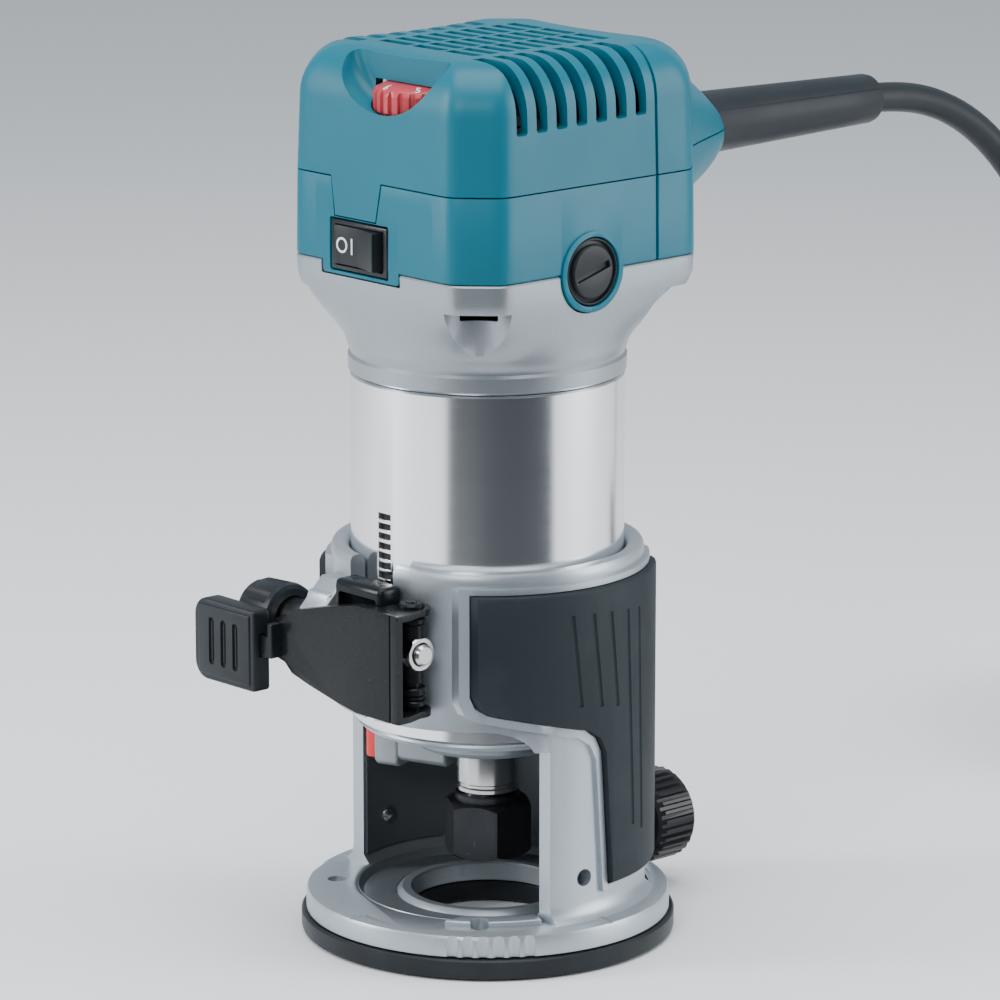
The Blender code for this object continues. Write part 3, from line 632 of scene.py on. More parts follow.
def ventFloor():
    # a dark floor under the vents as painted shade for the inside of the head, so that it does not read as a
    # void
    floor = ringLoft([headRing((z, 1, 3.4)) for z in (196.6, 197.6)])
    return shaped(floor, ("cut", block((-14, -50, 190), (20, -6, 200))))


def bothSides(low, high, radius):
    # a rod on each side of the head, on the axis of the brush caps
    z = brushValues["z"]
    return together(*(rod((side * low, 0, z), (side * high, 0, z), radius, sides=96) for side in (-1, 1)))


def switchTab():
    # the lip of the shell that reaches down over the collar under the switch
    return prism([(-17.4, 170), (-17.4, 163.2), (-16.8, 162.6), (8.8, 162.6), (9.4, 163.2), (9.4, 170)], "Y",
                 -35.9, -32.5)


def dialWay():
    values = dialValues
    x, y, z, half = values["x"], values["y"], values["z"], values["way"]
    return rod((x, y, z - half), (x, y, z + half), values["radius"] + 0.35, sides=96)


def headWhole():
    # cover and shell before they are parted at the seam
    values = brushValues
    dialWall = shaped(block((-17, -34, 196), (26, -26.1, 213.4), 2), ("keep", coverSolid(1.2)))
    skin = shaped(headSkin(), ("add", bothSides(33.5, values["face"], values["ringRadius"])),
                  ("add", switchTab()), ("add", dialWall))
    frontRecess = block((-20.5, -39, 158), (21.5, -35.0, 182.8), 2.6)
    switchOpening = block((-14.8, -40, 163.3), (5.8, -30, 175.9), 0.5)
    guardWay = rod((0, 20, 188), (0, 90, 188), 8.4, sides=64)
    return shaped(skin, ("cut", bothSides(30, 42, values["capRadius"] + 0.2)), ("cut", frontRecess),
                  ("cut", switchOpening), ("cut", guardWay), ("cut", headGroove()))


def makeHead():
    whole = headWhole()
    cover = shaped(whole, ("keep", coverRegion(0)), ("cut", coverVents()), ("cut", dialScoop()),
                   ("cut", dialWay()))
    shell = shaped(whole, ("cut", coverRegion(0.35)))
    finished("topCover", softened(cover, 0.4, 2, 38), looks["teal"], "motor_unit", ["top_cover"],
             30)
    finished("headShell", softened(shell, 0.3, 2, 38), looks["teal"], "motor_unit", ["head_shell"],
             30)
    # the dark floor under the vents is painted shade
    finished("ventFloor", ventFloor(), looks["darkInside"], "motor_unit")


def collarLevels():
    values = collarValues
    levels = [(values["low"], 0, 0.7), (values["low"] + 0.5, 0, 0.1), (141.2, 0, 0), (141.9, 0, 0.5),
              (142.8, 0, 0.45), (values["band"], 0, 0)]
    for k in range(1, 13):
        t = k / 12
        share = 0.8 * t * t * (3 - 2 * t) + 0.2 * t
        levels.append((values["band"] + (values["flare"] - values["band"]) * t, share, 0.2 * t))
    return [*levels, (values["top"] - 0.4, 1, 0), (values["top"], 1, 0.35)]


def exhaustHollow(tilt):
    # one exhaust hollow in a corner of the collar: its cutter, the thicker wall behind it and its slit
    values = collarValues
    deeper = values["rearReach"] if tilt < 180 else 0
    out = Vector((math.cos(math.radians(tilt)), math.sin(math.radians(tilt)), 0))
    centre = out * (values["ventReach"] + deeper)
    sizes = [(140.4, 10.9), (142, 11.4), (144, 11.5), (147, 10.7), (150, 9.8), (153, 9.1), (156, 8.6),
             (values["ventZ"], 8.4)]
    low, high = sizes[0][0], sizes[-1][0]
    cutter = [(r + deeper * 0.75, z) for z, r in sizes]
    wall = [(r + 1.5, z - 1) for r, z in cutter]
    slit = block((-4.4, -3, -0.8), (4.4, 3, 0.8), 0.4)
    slit.transform(Matrix.Translation(out * 35.6 + Vector((0, 0, values["ventZ"] - 1.7)))
                   @ Matrix.Rotation(math.radians(tilt + 90), 4, "Z"))
    return (spun([(0, low), *cutter, (0, high)], 96, centre),
            spun([(0, low - 3), *wall, (0, high + 6)], 96, centre), slit)


def makeCollar():
    values = collarValues
    levels = collarLevels()
    solid = ringLoft([headRing(level) for level in levels])
    inner = [(levels[0][0] - 1, 0, 1.8), *((z, share, inset + 2.2) for z, share, inset in levels[5:-1]),
             (values["top"] + 1, 1, 2.2)]
    cutters, walls, slits = zip(*(exhaustHollow(tilt) for tilt in (45, 135, 225, 315)))
    hollow = shaped(ringLoft([headRing(level) for level in inner]), ("cut", together(*walls)))
    tabWay = block((-17.9, -50, 162.2), (9.9, -25, 172), 0.4)
    collar = shaped(solid, ("cut", hollow), ("cut", together(*cutters)), ("cut", together(*slits)))
    collar = shaped(collar, ("cut", bothSides(28, 50, brushValues["ringRadius"] + 0.4)), ("cut", tabWay))
    finished("headCollar", softened(collar, 0.3, 2, 38), looks["collar"], "motor_unit", ["head_collar"],
             30)


def makeBrushCaps():
    for name, side in (("right", 1), ("left", -1)):
        z, radius = brushValues["z"], brushValues["capRadius"]
        profile = [(0, 4.5), (5.9, 4.5), (6.3, 4.2), (6.3, 3.5), (7.1, 3.2), (7.4, 4.1), (radius - 0.3, 4.1),
                   (radius, 3.7), (radius, 0), (0, 0)]
        cap = spun(profile, 72, (side * 32.1, 0, z), (side, 0, 0))
        slot = block((-1, -5.2, -0.85), (1, 5.2, 0.85), 0.2)
        slot.transform(Matrix.Translation((side * 36.7, 0, z)) @ Matrix.Rotation(math.radians(16), 4, "X"))
        finished(f"brushCap{name.title()}", softened(shaped(cap, ("cut", slot)), 0.15), looks["black"],
                 "motor_unit", [f"brush_cap_{name}"])


# ---- the motor tube and its nose ----
tubeValues = {"radius": 32.5, "inside": 30.6, "low": 53.5, "high": 137.0, "rackLow": 60.56,
              "rackPitch": 2.356, "rackCount": 20, "rackSlot": 1.5, "rackHalf": 2.2}
lockValues = {"turn": 19.1, "face": 29.0, "z": 45, "pin": 1.5}


def makeTube():
    values = tubeValues
    profile = [(values["radius"] - 0.5, values["high"]), (values["radius"], values["high"] - 0.5),
               (values["radius"], values["low"] + 0.6), (values["radius"] - 0.6, values["low"]),
               (values["inside"], values["low"]), (values["inside"], values["high"])]
    half, cuts = values["rackHalf"], []
    for k in range(values["rackCount"]):
        low = values["rackLow"] + k * values["rackPitch"]
        cuts.append(block((-half, -34, low), (half, -31.2, low + values["rackSlot"])))
    tube = shaped(spun(profile, 192), ("cut", together(*cuts)))
    # painted shade: a dark block behind the rack slots, so that they read dark
    slotShade = block((-2.8, -31.3, values["rackLow"] - 1), (2.8, -29.6, 110))
    finished("rackSlotShade", slotShade, looks["darkInside"], "motor_unit")
    finished("motorTube", softened(tube, 0.12, 2, 50), looks["tube"], "motor_unit", ["motor_tube"],
             28)


def makeNose():
    nose = [(0, 59.6), (30.3, 59.6), (30.3, 53.2), (31.2, 53.2), (31.5, 52.6), (30.6, 51.6), (26, 51.0),
            (18.6, 50.2), (0, 50.0)]
    ways = spun([(0, 62), (13, 62), (13, 52.5), (9.5, 52.5), (9.5, 48), (0, 48)], 64)
    housing = shaped(spun(nose, 128), ("cut", ways))
    finished("noseHousing", housing, looks["silver"], "motor_unit", ["nose_housing"])


def alongLock(mesh, reach=0.0, height=0.0):
    # turns a mesh drawn along X to the lock button's direction, that far out and up
    out = Matrix.Rotation(math.pi + math.radians(lockValues["turn"]), 4, "Z")
    mesh.transform(out @ Matrix.Translation((reach, 0, height)))
    return mesh


def makeNoseCap():
    disc = spun([(18, 49.8), (18, 47.0), (17.2, 45.9), (13, 45.6), (11.5, 46.4), (8.8, 46.4), (8.8, 49.8)],
                96)
    boss = prism([(-4.8, 39.8), (-3.4, 38.5), (3.4, 38.5), (4.8, 39.8), (5.2, 49.6), (-5.2, 49.6)], "X",
                 9.4, 22.5, 0.5)
    tall = prism([(-5.2, 38.2), (-3.8, 36.9), (3.8, 36.9), (5.2, 38.2), (5.4, 51.0), (-5.4, 51.0)], "X",
                 22.2, 28.6, 0.7)
    pocket = block((25.2, -3.9, 37.8), (30, 3.9, 50.9), 0.5)
    pinWay = rod((5, 0, lockValues["z"]), (40, 0, lockValues["z"]), lockValues["pin"] + 0.4, sides=32)
    spindleWay = rod((0, 0, 30), (0, 0, 60), 8.5, sides=64)
    cap = shaped(disc, ("add", alongLock(boss)), ("add", alongLock(tall)), ("cut", spindleWay),
                 ("cut", alongLock(pinWay)), ("cut", alongLock(pocket)))
    finished("noseCap", softened(cap, 0.35), looks["grey"], "motor_unit", ["nose_cap"])


def makeLockButton():
    values = lockValues
    button = alongLock(block((-0.7, -3.6, -6.9), (2.9, 3.6, 5.6), 0.9), values["face"], values["z"])
    pin = alongLock(rod((11.2, 0, values["z"]), (29.6, 0, values["z"]), values["pin"], sides=24))
    finished("lockButton", shaped(button, ("add", pin)), looks["red"], "lock", ["lock_button"])


def makeSpindle():
    shaft = [(0, 190), (4, 190), (4, 61), (6, 61), (6, 49), (7.3, 48.6), (7.5, 48.2), (7.5, 36.4),
             (7.1, 36.0), (7.1, 35.5), (7.5, 35.1), (7.5, 34.3), (6.5, 33.7), (6.5, 22.7), (6.3, 22.5),
             (0, 22.5)]
    bore = rod((0, 0, 20), (0, 0, 44), 5.2, sides=64)
    finished("spindle", shaped(spun(shaft, 96), ("cut", bore)), looks["steel"], "rotor", ["armature_shaft"])


def makeCollet():
    collet = spun([(4.9, 40), (4.9, 22.2), (5.9, 21.6), (5.0, 21), (4.3, 21), (4.0, 21.3), (4.0, 40)], 64)
    slit = block((-7, -0.35, 20.5), (7, 0.35, 35.5))
    crossSlit = block((-0.35, -7, 20.5), (0.35, 7, 35.5))
    finished("colletCone", shaped(collet, ("cut", slit), ("cut", crossSlit)), looks["steel"], "rotor",
             ["collet_cone"])


def makeColletNut():
    acrossFlats = 19
    hexagon = rod((0, 0, 18), (0, 0, 31.7), acrossFlats / math.sqrt(3), sides=6)
    trim = spun([(0, 33.5), (7.6, 33.5), (7.9, 32.9), (8.2, 31.7), (9.6, 31.4), (11.6, 29.9), (11.6, 20.1),
                 (9.8, 18.4), (9.0, 18), (0, 18)], 96)
    neck = spun([(0, 33.5), (7.6, 33.5), (7.9, 33.1), (7.9, 30.5), (0, 30.5)], 96)
    hole = spun([(0, 40), (6.8, 40), (6.8, 21.9), (5.4, 20.5), (4.6, 20.3), (4.6, 13), (0, 13)], 64)
    nut = shaped(hexagon, ("keep", trim), ("add", neck), ("cut", hole))
    finished("colletNut", softened(nut, 0.2, 2, 25), looks["blackOxide"], "nut", ["collet_nut"],
             25)


# ---- the base ----
baseValues = {"columnOuter": 37.5, "columnInner": 34.0, "flange": 43.8, "flangeTop": 10.5, "soleTop": 4.8,
              "collarTop": 96.0, "collarInner": 32.8, "sides": 160, "windowEdge": -12.2}
gripValues = {"outer": 40.2, "inner": 37.9, "low": 18.0, "high": 91.0, "groove": 0.75, "grooveReach": 40.55,
              "grooves": ((-12.5, 85.5, -8.9, 63.2), (-4, 85.2, -0.2, 62.4), (4, 84.8, 7.6, 61.5),
                          (13, 84.2, 17, 31), (20.5, 83.6, 23.5, 29))}
soleScrewReach = 25.81
soleScrews = [(x * soleScrewReach, y * soleScrewReach) for x in (-1, 1) for y in (-1, 1)]


def around(radius, angle):
    return radius * math.cos(math.radians(angle)), radius * math.sin(math.radians(angle))


def baseColumn():
    # column, flange and the ring round the sole's hole as one turned shape, open in front
    values = baseValues
    outer, inner, flange = values["columnOuter"], values["columnInner"], values["flange"]
    top, sole, high = values["flangeTop"], values["soleTop"], values["collarTop"]
    profile = [(35.6, high), (36.7, high - 0.3), (37.2, high - 1.1), (37.3, high - 2.6), (37.2, 92.2),
               (37.1, 60), (outer, 57), (outer, 14.5), (37.9, 12.6), (38.8, 11.3), (40, top),
               (flange - 1.3, top), (flange - 0.4, top - 0.4), (flange, top - 1.3), (flange, sole + 0.4),
               (18.2, sole + 0.3), (18.2, 9.2), (18.6, 9.6), (20.6, 9.6), (21.2, 9.2), (22, 8.2), (30, 8.2),
               (30.8, 8.6), (31.5, 10.1), (32.2, top), (inner, 12.5), (inner, 56),
               (values["collarInner"], 58), (values["collarInner"], high - 2), (33.4, high - 0.8),
               (34.4, high - 0.1)]
    window = [(-50, top - 0.05), (50, top - 0.05), (50, 50), *arc((28, 52), 6, -10, 90, 6)[1:],
              *arc((-28, 52), 6, 90, 190, 6), (-50, 50)]
    return shaped(spun(profile, values["sides"]), ("cut", prism(window, "Y", -60, values["windowEdge"])))


def baseBosses():
    leftEar = prism([(-44, 66), (-44, 84), (-42.5, 87.6), (-33.8, 88), (-33.8, 64), (-41, 64)], "X", -16,
                    -8, 0.7)
    rightEar = block((8, -44, 65), (13, -33.8, 80), 0.7)
    wedge = prism([(-45.6, 80), (-45.6, 83.6), (-38.6, 90.4), (-33, 90.4), (-33, 80)], "X", -15.8, -7.6, 0.6)
    rearBoss = block((-9, 35.6, 9.3), (9, 47, 28), 1.2)
    rearFoot = prism([(35, 9), (46.9, 10.4), (41, 32), (36, 44), (35, 44)], "X", -6.5, 6.5, 0.8)
    ramp = [around(37.4, t) for t in range(-58, -21, 3)] + [around(32.8, t) for t in range(-22, -55, -3)]
    return leftEar, rightEar, wedge, rearBoss, rearFoot, prism(ramp, "Z", 9, 12.0, 0.5)


def baseCuts():
    y, z = clampValues["y"], clampValues["z"]
    clampGap = block((-7.6, -50, 66), (7.6, -30, 99), 0.6)
    clampSlit = block((-1.6, -50, 55), (1.6, -30, 67))
    boltWay = rod((7, y, z), (25, y, z), 2.9)
    pinionWay = rod((-30, y, z), (-7.2, y, z), 5.4)
    screwWay = rod((0, 43.5, 16.5), (0, 50, 16.5), 3.3)
    guideWay = block((-3.5, 38.6, 5), (3.5, 44, 50))
    sideHoles = together(*(rod((side * 33, -3, 20.5), (side * 41, -3, 20.5), 2.1, sides=32)
                           for side in (-1, 1)))
    screwHoles = together(*(rod((x, y, 4), (x, y, 12.5), 2.3, sides=32) for x, y in soleScrews))
    flutes = together(*(rod((*around(44.9, t), 4), (*around(44.9, t), 13), 1.75, sides=24)
                        for t in (-53, -48.2, -43.4, -38.6, -33.8, -29)))
    marks = together(*(markGroove(t) for t in (-90, 0, 90, 180)))
    notch = block((-44.6, -12.5, 4), (-42.2, -2.5, 12), 0.4)
    notch.transform(Matrix.Rotation(math.radians(22), 4, "Z"))
    return (clampGap, clampSlit, boltWay, pinionWay, screwWay, guideWay, sideHoles, screwHoles, flutes,
            marks, notch)


def makeBase():
    casting = shaped(baseColumn(), *(("add", boss) for boss in baseBosses()))
    for cut in baseCuts():
        casting = shaped(casting, ("cut", cut))
    casting = shaped(casting, ("add", gripFrame(-1)), ("add", gripFrame(1)))
    finished("baseCasting", softened(casting, 0.45, 3, 36), looks["silver"], "base",
             ["base_casting", "base_flange"], 32)


def markGroove(angle):
    groove = block((39.5, -0.7, 10.0), (46, 0.7, 12), 0.25)
    groove.transform(Matrix.Rotation(math.radians(angle), 4, "Z"))
    return groove


def gripOutline(g=0.0):
    # the grip's edge seen from its side, as (y, z), grown outward by g
    return [(-28.5 - g, 95 + g), (-28.5 - g, 67 - g), (-27.6 - g, 64.2 - g), (-25.5 - g, 62.6 - g),
            (-4 - g, 57.2 - g), (-0.4 - g, 54.8 - g), (1.5 - g, 51 - g), (4.5 - g, 10 - g),
            (30 + g, 10 - g), (30 + g, 95 + g)]


def gripFrame(side):
    # the slightly raised border of the casting round each grip
    values = gripValues
    ring = spun([(38.6, values["high"] + 1.6), (38.6, values["low"] - 1.8), (36.6, values["low"] - 1.8),
                 (36.6, values["high"] + 1.6)], 160)
    reach = (4, 52) if side > 0 else (-52, -4)
    clear = (3, 53) if side > 0 else (-53, -3)
    outline = [(y, min(z, values["high"] + 1.6)) for y, z in gripOutline(1.9)]
    hole = spun([(45, values["high"] + 0.25), (45, values["low"] - 0.3), (37.75, values["low"] - 0.3),
                 (37.75, values["high"] + 0.25)], 160)
    hole = shaped(hole, ("keep", prism(gripOutline(0.3), "X", *clear)))
    return shaped(ring, ("keep", prism(outline, "X", *reach)), ("cut", hole))


def makeGrips():
    values = gripValues
    ring = [(values["outer"] - 1.0, values["high"]), (values["outer"] - 0.3, values["high"] - 0.3),
            (values["outer"], values["high"] - 1.1), (values["outer"], values["low"] + 1.2),
            (values["outer"] - 0.3, values["low"] + 0.4), (values["outer"] - 1.1, values["low"]),
            (values["inner"], values["low"]), (values["inner"], values["high"])]
    for name, side, span in (("Right", 1, (5, 50)), ("Left", -1, (-50, -5))):
        grip = shaped(spun(ring, 192), ("keep", prism(gripOutline(), "X", *span)))
        cuts = []
        for turnHigh, high, turnLow, low in values["grooves"]:
            ends = []
            for turn, z in ((turnHigh, high), (turnLow, low)):
                angle = math.radians(turn)
                reach = values["grooveReach"]
                ends.append((side * reach * math.cos(angle), reach * math.sin(angle), z))
            cuts.append(rod(*ends, values["groove"], sides=16))
        grip = shaped(softened(grip, 0.5, 3, 40), ("cut", together(*cuts)))
        finished(f"grip{name}", grip, looks["grip"], "base", [f"grip_{name.lower()}"], 30)


def makeLiner():
    # a dark copy of the silver paint on the inner wall of the column as painted shade, and a darker silver
    # sheet on the funnel round the sole's hole
    wall = spun([(33.95, 56), (33.95, 12.8), (33.2, 12.6), (33.2, 56)], 128)
    funnel = spun([(22.2, 8.2), (30.2, 8.2), (31.4, 9.9), (31.2, 10.3), (29.9, 8.6), (22.4, 8.6)], 128)
    wall = shaped(wall, ("cut", block((-50, -60, 8), (50, -11.4, 60))))
    # painted shade: the inner wall of the column is the silver casting in its own shadow
    finished("columnPaintedShade", wall, looks["liner"], "base")
    finished("funnelDarkerSheet", funnel, looks["collar"], "base")
    stud = spun([(0, 1.5), (1.1, 1.3), (1.9, 0.8), (2.2, 0), (0, 0)], 32, (-33.3, -3, 20.5), (1, 0, 0))
    finished("sideStud", stud, looks["steel"], "base")


def makeSole():
    profile = [(44.6, 4.8), (45, 4.4), (45, 0.9), (44.8, 0.3), (44.2, 0), (18, 0), (17.5, 0.5), (17.5, 4.8)]
    ways = together(*(spun([(0, 6), (2.2, 6), (2.2, 3), (4.6, 0.6), (4.6, -1), (0, -1)], 32, (x, y, 0))
                      for x, y in soleScrews))
    finished("solePlate", shaped(spun(profile, 160), ("cut", ways)), looks["black"], "base", ["sole_plate"])
    for number, (x, y) in enumerate(soleScrews, 1):
        screw = spun([(0, 9.5), (1.6, 9.5), (2, 9.1), (2, 3), (4.1, 0.8), (4.1, 0.4), (0, 0.4)], 40,
                     (x, y, 0))
        cross = shaped(block((-2.2, -0.4, -1), (2.2, 0.4, 1.5)),
                       ("add", block((-0.4, -2.2, -1), (0.4, 2.2, 1.4))))
        cross.transform(Matrix.Translation((x, y, 0)))
        finished(f"soleScrew{number}", shaped(screw, ("cut", cross)), looks["steel"], "base",
                 [f"sole_screw_{number}"])


# ---- clamp, lever and depth pinion ----
clampValues = {"y": -38.6, "z": 77.8, "pivotX": 16.5, "leverLow": 62.8, "leverHigh": 88.6,
               "plateFront": -47.6, "plateBack": -46.1, "teeth": 17, "pitchRadius": 6.374}


def makeClamp():
    spot = (0, clampValues["y"], clampValues["z"])
    bolt = spun([(0, 21.4), (2.0, 21.4), (2.5, 20.8), (2.5, -33.5), (4.2, -33.5), (4.2, -36.1), (3.8, -36.5),
                 (0, -36.5)], 48, spot, (1, 0, 0))
    finished("clampBolt", bolt, looks["steel"], "base", ["clamp_bolt"])
    y, z = spot[1:]
    ring = spun([(4.1, 0), (4.1, 2.1), (3.8, 2.5), (2.9, 2.5), (2.7, 2.2), (2.7, 0)], 48, (17.6, y, z),
                (1, 0, 0))
    nut = shaped(ring, ("keep", rod((17.2, y, z), (20.2, y, z), 4.35, sides=6)))
    finished("clampNut", nut, looks["steel"], "base", ["clamp_nut"], 25)


def makeLeverPivot():
    x, y, z = clampValues["pivotX"], clampValues["y"], clampValues["z"]
    pin = shaped(rod((x, y, 62), (x, y, 89.4), 2.2), ("add", rod((x, y, 71), (x, y, 84.6), 3.1)),
                 ("cut", rod((10, y, z), (25, y, z), 2.8)))
    head = spun([(0, 90.0), (1.2, 90.0), (1.3, 89.7), (2.7, 89.7), (3.1, 89.2), (3.1, 88.7), (0, 88.7)], 48,
                (x, y, 0))
    finished("leverPin", pin, looks["blackSteel"], "base", ["lever_pin"])
    finished("pinHead", head, looks["blackSteel"], "base")
    washers = ((65.1, 66.5, 3.4), (66.7, 67.6, 3.2), (67.8, 69.6, 3.4), (84.9, 86.3, 3.4))
    for number, (low, high, radius) in enumerate(washers, 1):
        washer = spun([(radius - 0.25, high), (radius, high - 0.25), (radius, low + 0.25),
                       (radius - 0.25, low), (2.3, low), (2.3, high)], 48, (x, y, 0))
        finished(f"pivotWasher{number}", washer, looks["blackSteel"], "base")


def makeClampCover():
    y, z = clampValues["y"], clampValues["z"]
    hollow = block((-3.6, -50, 75), (9.6, -41, 89.6), 0.8)
    cover = shaped(block((-5.4, -43.6, 78.5), (11.4, -36.8, 92.4), 1.4), ("cut", hollow),
                   ("cut", rod((-12, y, z), (12, y, z), 7.6)))
    finished("clampCover", cover, looks["blackSteel"], "base")


def makeLeverArm():
    values = clampValues
    x, y, low, high = values["pivotX"], values["y"], values["leverLow"], values["leverHigh"]
    front, back = values["plateFront"], values["plateBack"]
    face = [(22, low + 1), (22, high - 1), (21, high), (7, high), (-1, 87), (-10, 84.6), (-15, 83.4),
            (-18.5, 81), (-21.8, 80.2), (-21.8, 70.8), (-18.6, 70), (-16, 67.8), (-10, 66.2), (0, 64),
            (7, low), (21, low)]
    arm = prism(face, "Y", front, back)
    lip = prism([(22, high), (7, high), (-1, 87), (-10, 84.6), (-15, 83.4), (-15, 82.2), (-10, 83.4),
                 (-1, 85.8), (7, 87.3), (22, 87.3)], "Y", front + 0.1, -44.6)
    foot = prism([(-10, 66.2), (0, 64), (7, low), (22, low), (22, low + 1.2), (7.2, low + 1.2), (0.2, 65.1),
                  (-9.8, 67.3)], "Y", front + 0.1, -44.8)
    ear = [(12.4, back - 0.8), (22, back - 0.8), (22, -43.8), *arc((x, y), 4.5, -14, 184, 24)]
    arm = shaped(arm, ("add", lip), ("add", foot), ("add", prism(ear, "Z", low, low + 1.5)),
                 ("add", prism(ear, "Z", high - 1.5, high)))
    crease = block((18.9, -49, 60), (19.5, front + 0.25, 92))
    tongue = block((-40, -50.6, 71), (-20, -49.2, 76))
    neck = block((-21.6, -50.6, 71), (-19.7, back, 79.4), 0.4)
    arm = shaped(arm, ("add", neck), ("add", tongue), ("cut", rod((x, y, 60), (x, y, 91), 2.5)),
                 ("cut", crease))
    finished("leverArm", softened(arm, 0.55, 3, 36), looks["blackSteel"], "lever", ["lever_arm"],
             30)


def makePaddle():
    barStarts = (-40.6, -36.2, -31.8)
    outline = [(-24.7, 62.1), (-24.1, 62.7), (-24.1, 81.3), (-24.7, 81.9),
               *arc((-42, 77.5), 4.5, 90, 180, 10), *arc((-42, 66.5), 4.5, 180, 270, 10)]
    paddle = prism(outline, "Y", -52.4, -47.5, 0.6)
    bars = [block((x, -54, 66.2), (x + 1.9, -51.75, 77.8), 0.8) for x in barStarts]
    pocket = block((-40.4, -50.9, 70.7), (-15, -48.9, 76.3))
    rim = shaped(block((-44.6, -52.75, 63.4), (-25.6, -51.9, 80.6), 0.35),
                 ("keep", prism(outline, "Y", -60, -40)))
    paddle = shaped(paddle, ("add", rim), ("cut", together(*bars)), ("cut", pocket))
    ridges = together(*(block((x + 0.65, -52.6, 67.2), (x + 1.25, -51.6, 76.8), 0.25) for x in barStarts))
    finished("leverPaddle", paddle, looks["black"], "lever", ["lever_grip"], 32)
    finished("paddleRidges", ridges, looks["black"], "lever")


def gearOutline(centre, count, inner, outer, start=0.0, shape=(0.21, 0.07)):
    step = math.tau / count
    points = []
    for tooth in range(count):
        turn = start + tooth * step
        for offset, radius in ((-shape[0], inner), (-shape[1], outer), (shape[1], outer), (shape[0], inner)):
            angle = turn + offset * step
            points.append((centre[0] + radius * math.sin(angle), centre[1] + radius * math.cos(angle)))
    return points


def makePinionGear():
    values = clampValues
    y, z, pitch = values["y"], values["z"], values["pitchRadius"]
    teeth = gearOutline((y, z), values["teeth"], pitch - 0.85, pitch + 0.72, math.pi / 2)
    gear = shaped(prism(teeth, "X", -2, 2), ("add", rod((-29, y, z), (6.9, y, z), 4.9)),
                  ("cut", rod((-40, y, z), (12, y, z), 2.9)))
    finished("pinionGear", softened(gear, 0.15), looks["steel"], "pinion", ["pinion_gear"], 25)


def makePinionKnob():
    y, z = clampValues["y"], clampValues["z"]
    knob = spun([(0, -26.5), (7.0, -26.5), (7.9, -27.2), (8.2, -28.6), (7.8, -37.2), (7.1, -38.5),
                 (0, -38.5)], 96, (0, y, z), (1, 0, 0))
    fingers = []
    for k in range(8):
        a, b = around(9.6, 90 - 45 * k)
        fingers.append(rod((-44, y + a, z + b), (-28.4, y + a, z + b), 2.5, sides=32))
    hollow = spun([(0, -42), (4.8, -42), (4.8, -33), (3.0, -33), (3.0, -31), (5.3, -31), (5.3, -20),
                   (0, -20)], 48, (0, y, z), (1, 0, 0))
    knob = shaped(knob, ("cut", together(*fingers)), ("cut", hollow))
    finished("pinionKnob", softened(knob, 0.4, 3), looks["black"], "pinion", ["pinion_knob"],
             30)


def makeGuideScrew():
    ribs = prism(gearOutline((0, 16.5), 30, 10.5, 11.4, 0, (0.3, 0.16)), "Y", 47.8, 59.8)
    trim = spun([(0, 47.8), (9.8, 47.8), (11.4, 49.2), (11.4, 58.4), (10.2, 59.7), (7.2, 59.8), (6.6, 59.2),
                 (0, 59.0)], 96, (0, 0, 16.5), (0, 1, 0))
    screw = shaped(ribs, ("keep", trim), ("add", rod((0, 44.4, 16.5), (0, 50, 16.5), 2.9)))
    finished("guideThumbScrew", softened(screw, 0.18), looks["glossBlack"], "guide_screw",
             ["guide_thumb_screw"], 28)


# ---- switch and dial ----
switchValues = {"x": -4.5, "y": -31.0, "z": 169.6, "turn": -7.0}
dialValues = {"x": 3.5, "y": -22.5, "z": 204.5, "radius": 12.0, "half": 3.4, "way": 3.7, "numberStep": 50,
              "numberSize": 3.0}


def makeSwitch():
    values = switchValues
    x, y, z = values["x"], values["y"], values["z"]
    rim = block((x - 9.9, -35.9, z - 5.9), (x + 9.9, -20, z + 5.9), 0.4)
    well = block((x - 8.5, -38, z - 4.9), (x + 8.5, -22.5, z + 4.9), 0.3)
    finished("switchFrame", shaped(rim, ("cut", well)), looks["glossBlack"], "motor_unit", ["switch_body"])
    outline = [(-7.9, -6.2), (-6, -5.75), (-3, -5.3), (-0.4, -5.05), (0.4, -5.05), (3, -5.3), (6, -5.75),
               (7.9, -6.2), (7.9, -3), (2.5, 1), (-2.5, 1), (-7.9, -3)]
    spot = Matrix.Translation((x, y, z)) @ Matrix.Rotation(math.radians(values["turn"]), 4, "Z")
    rocker = prism(outline, "Z", -4.6, 4.6, 0.25)
    rocker.transform(spot)
    finished("switchRocker", rocker, looks["black"], "rocker", ["switch_rocker"])
    letterO = spun([(1.85, 0.06), (1.85, -0.06), (1.35, -0.06), (1.35, 0.06)], 40, (-5.3, -5.68, 0),
                   (0.16, -1, 0))
    stroke = block((-2.1, -5.3, -1.9), (-1.6, -5.12, 1.9))
    marks = together(letterO, stroke)
    marks.transform(spot)
    finished("switchMarks", marks, looks["mark"], "rocker")


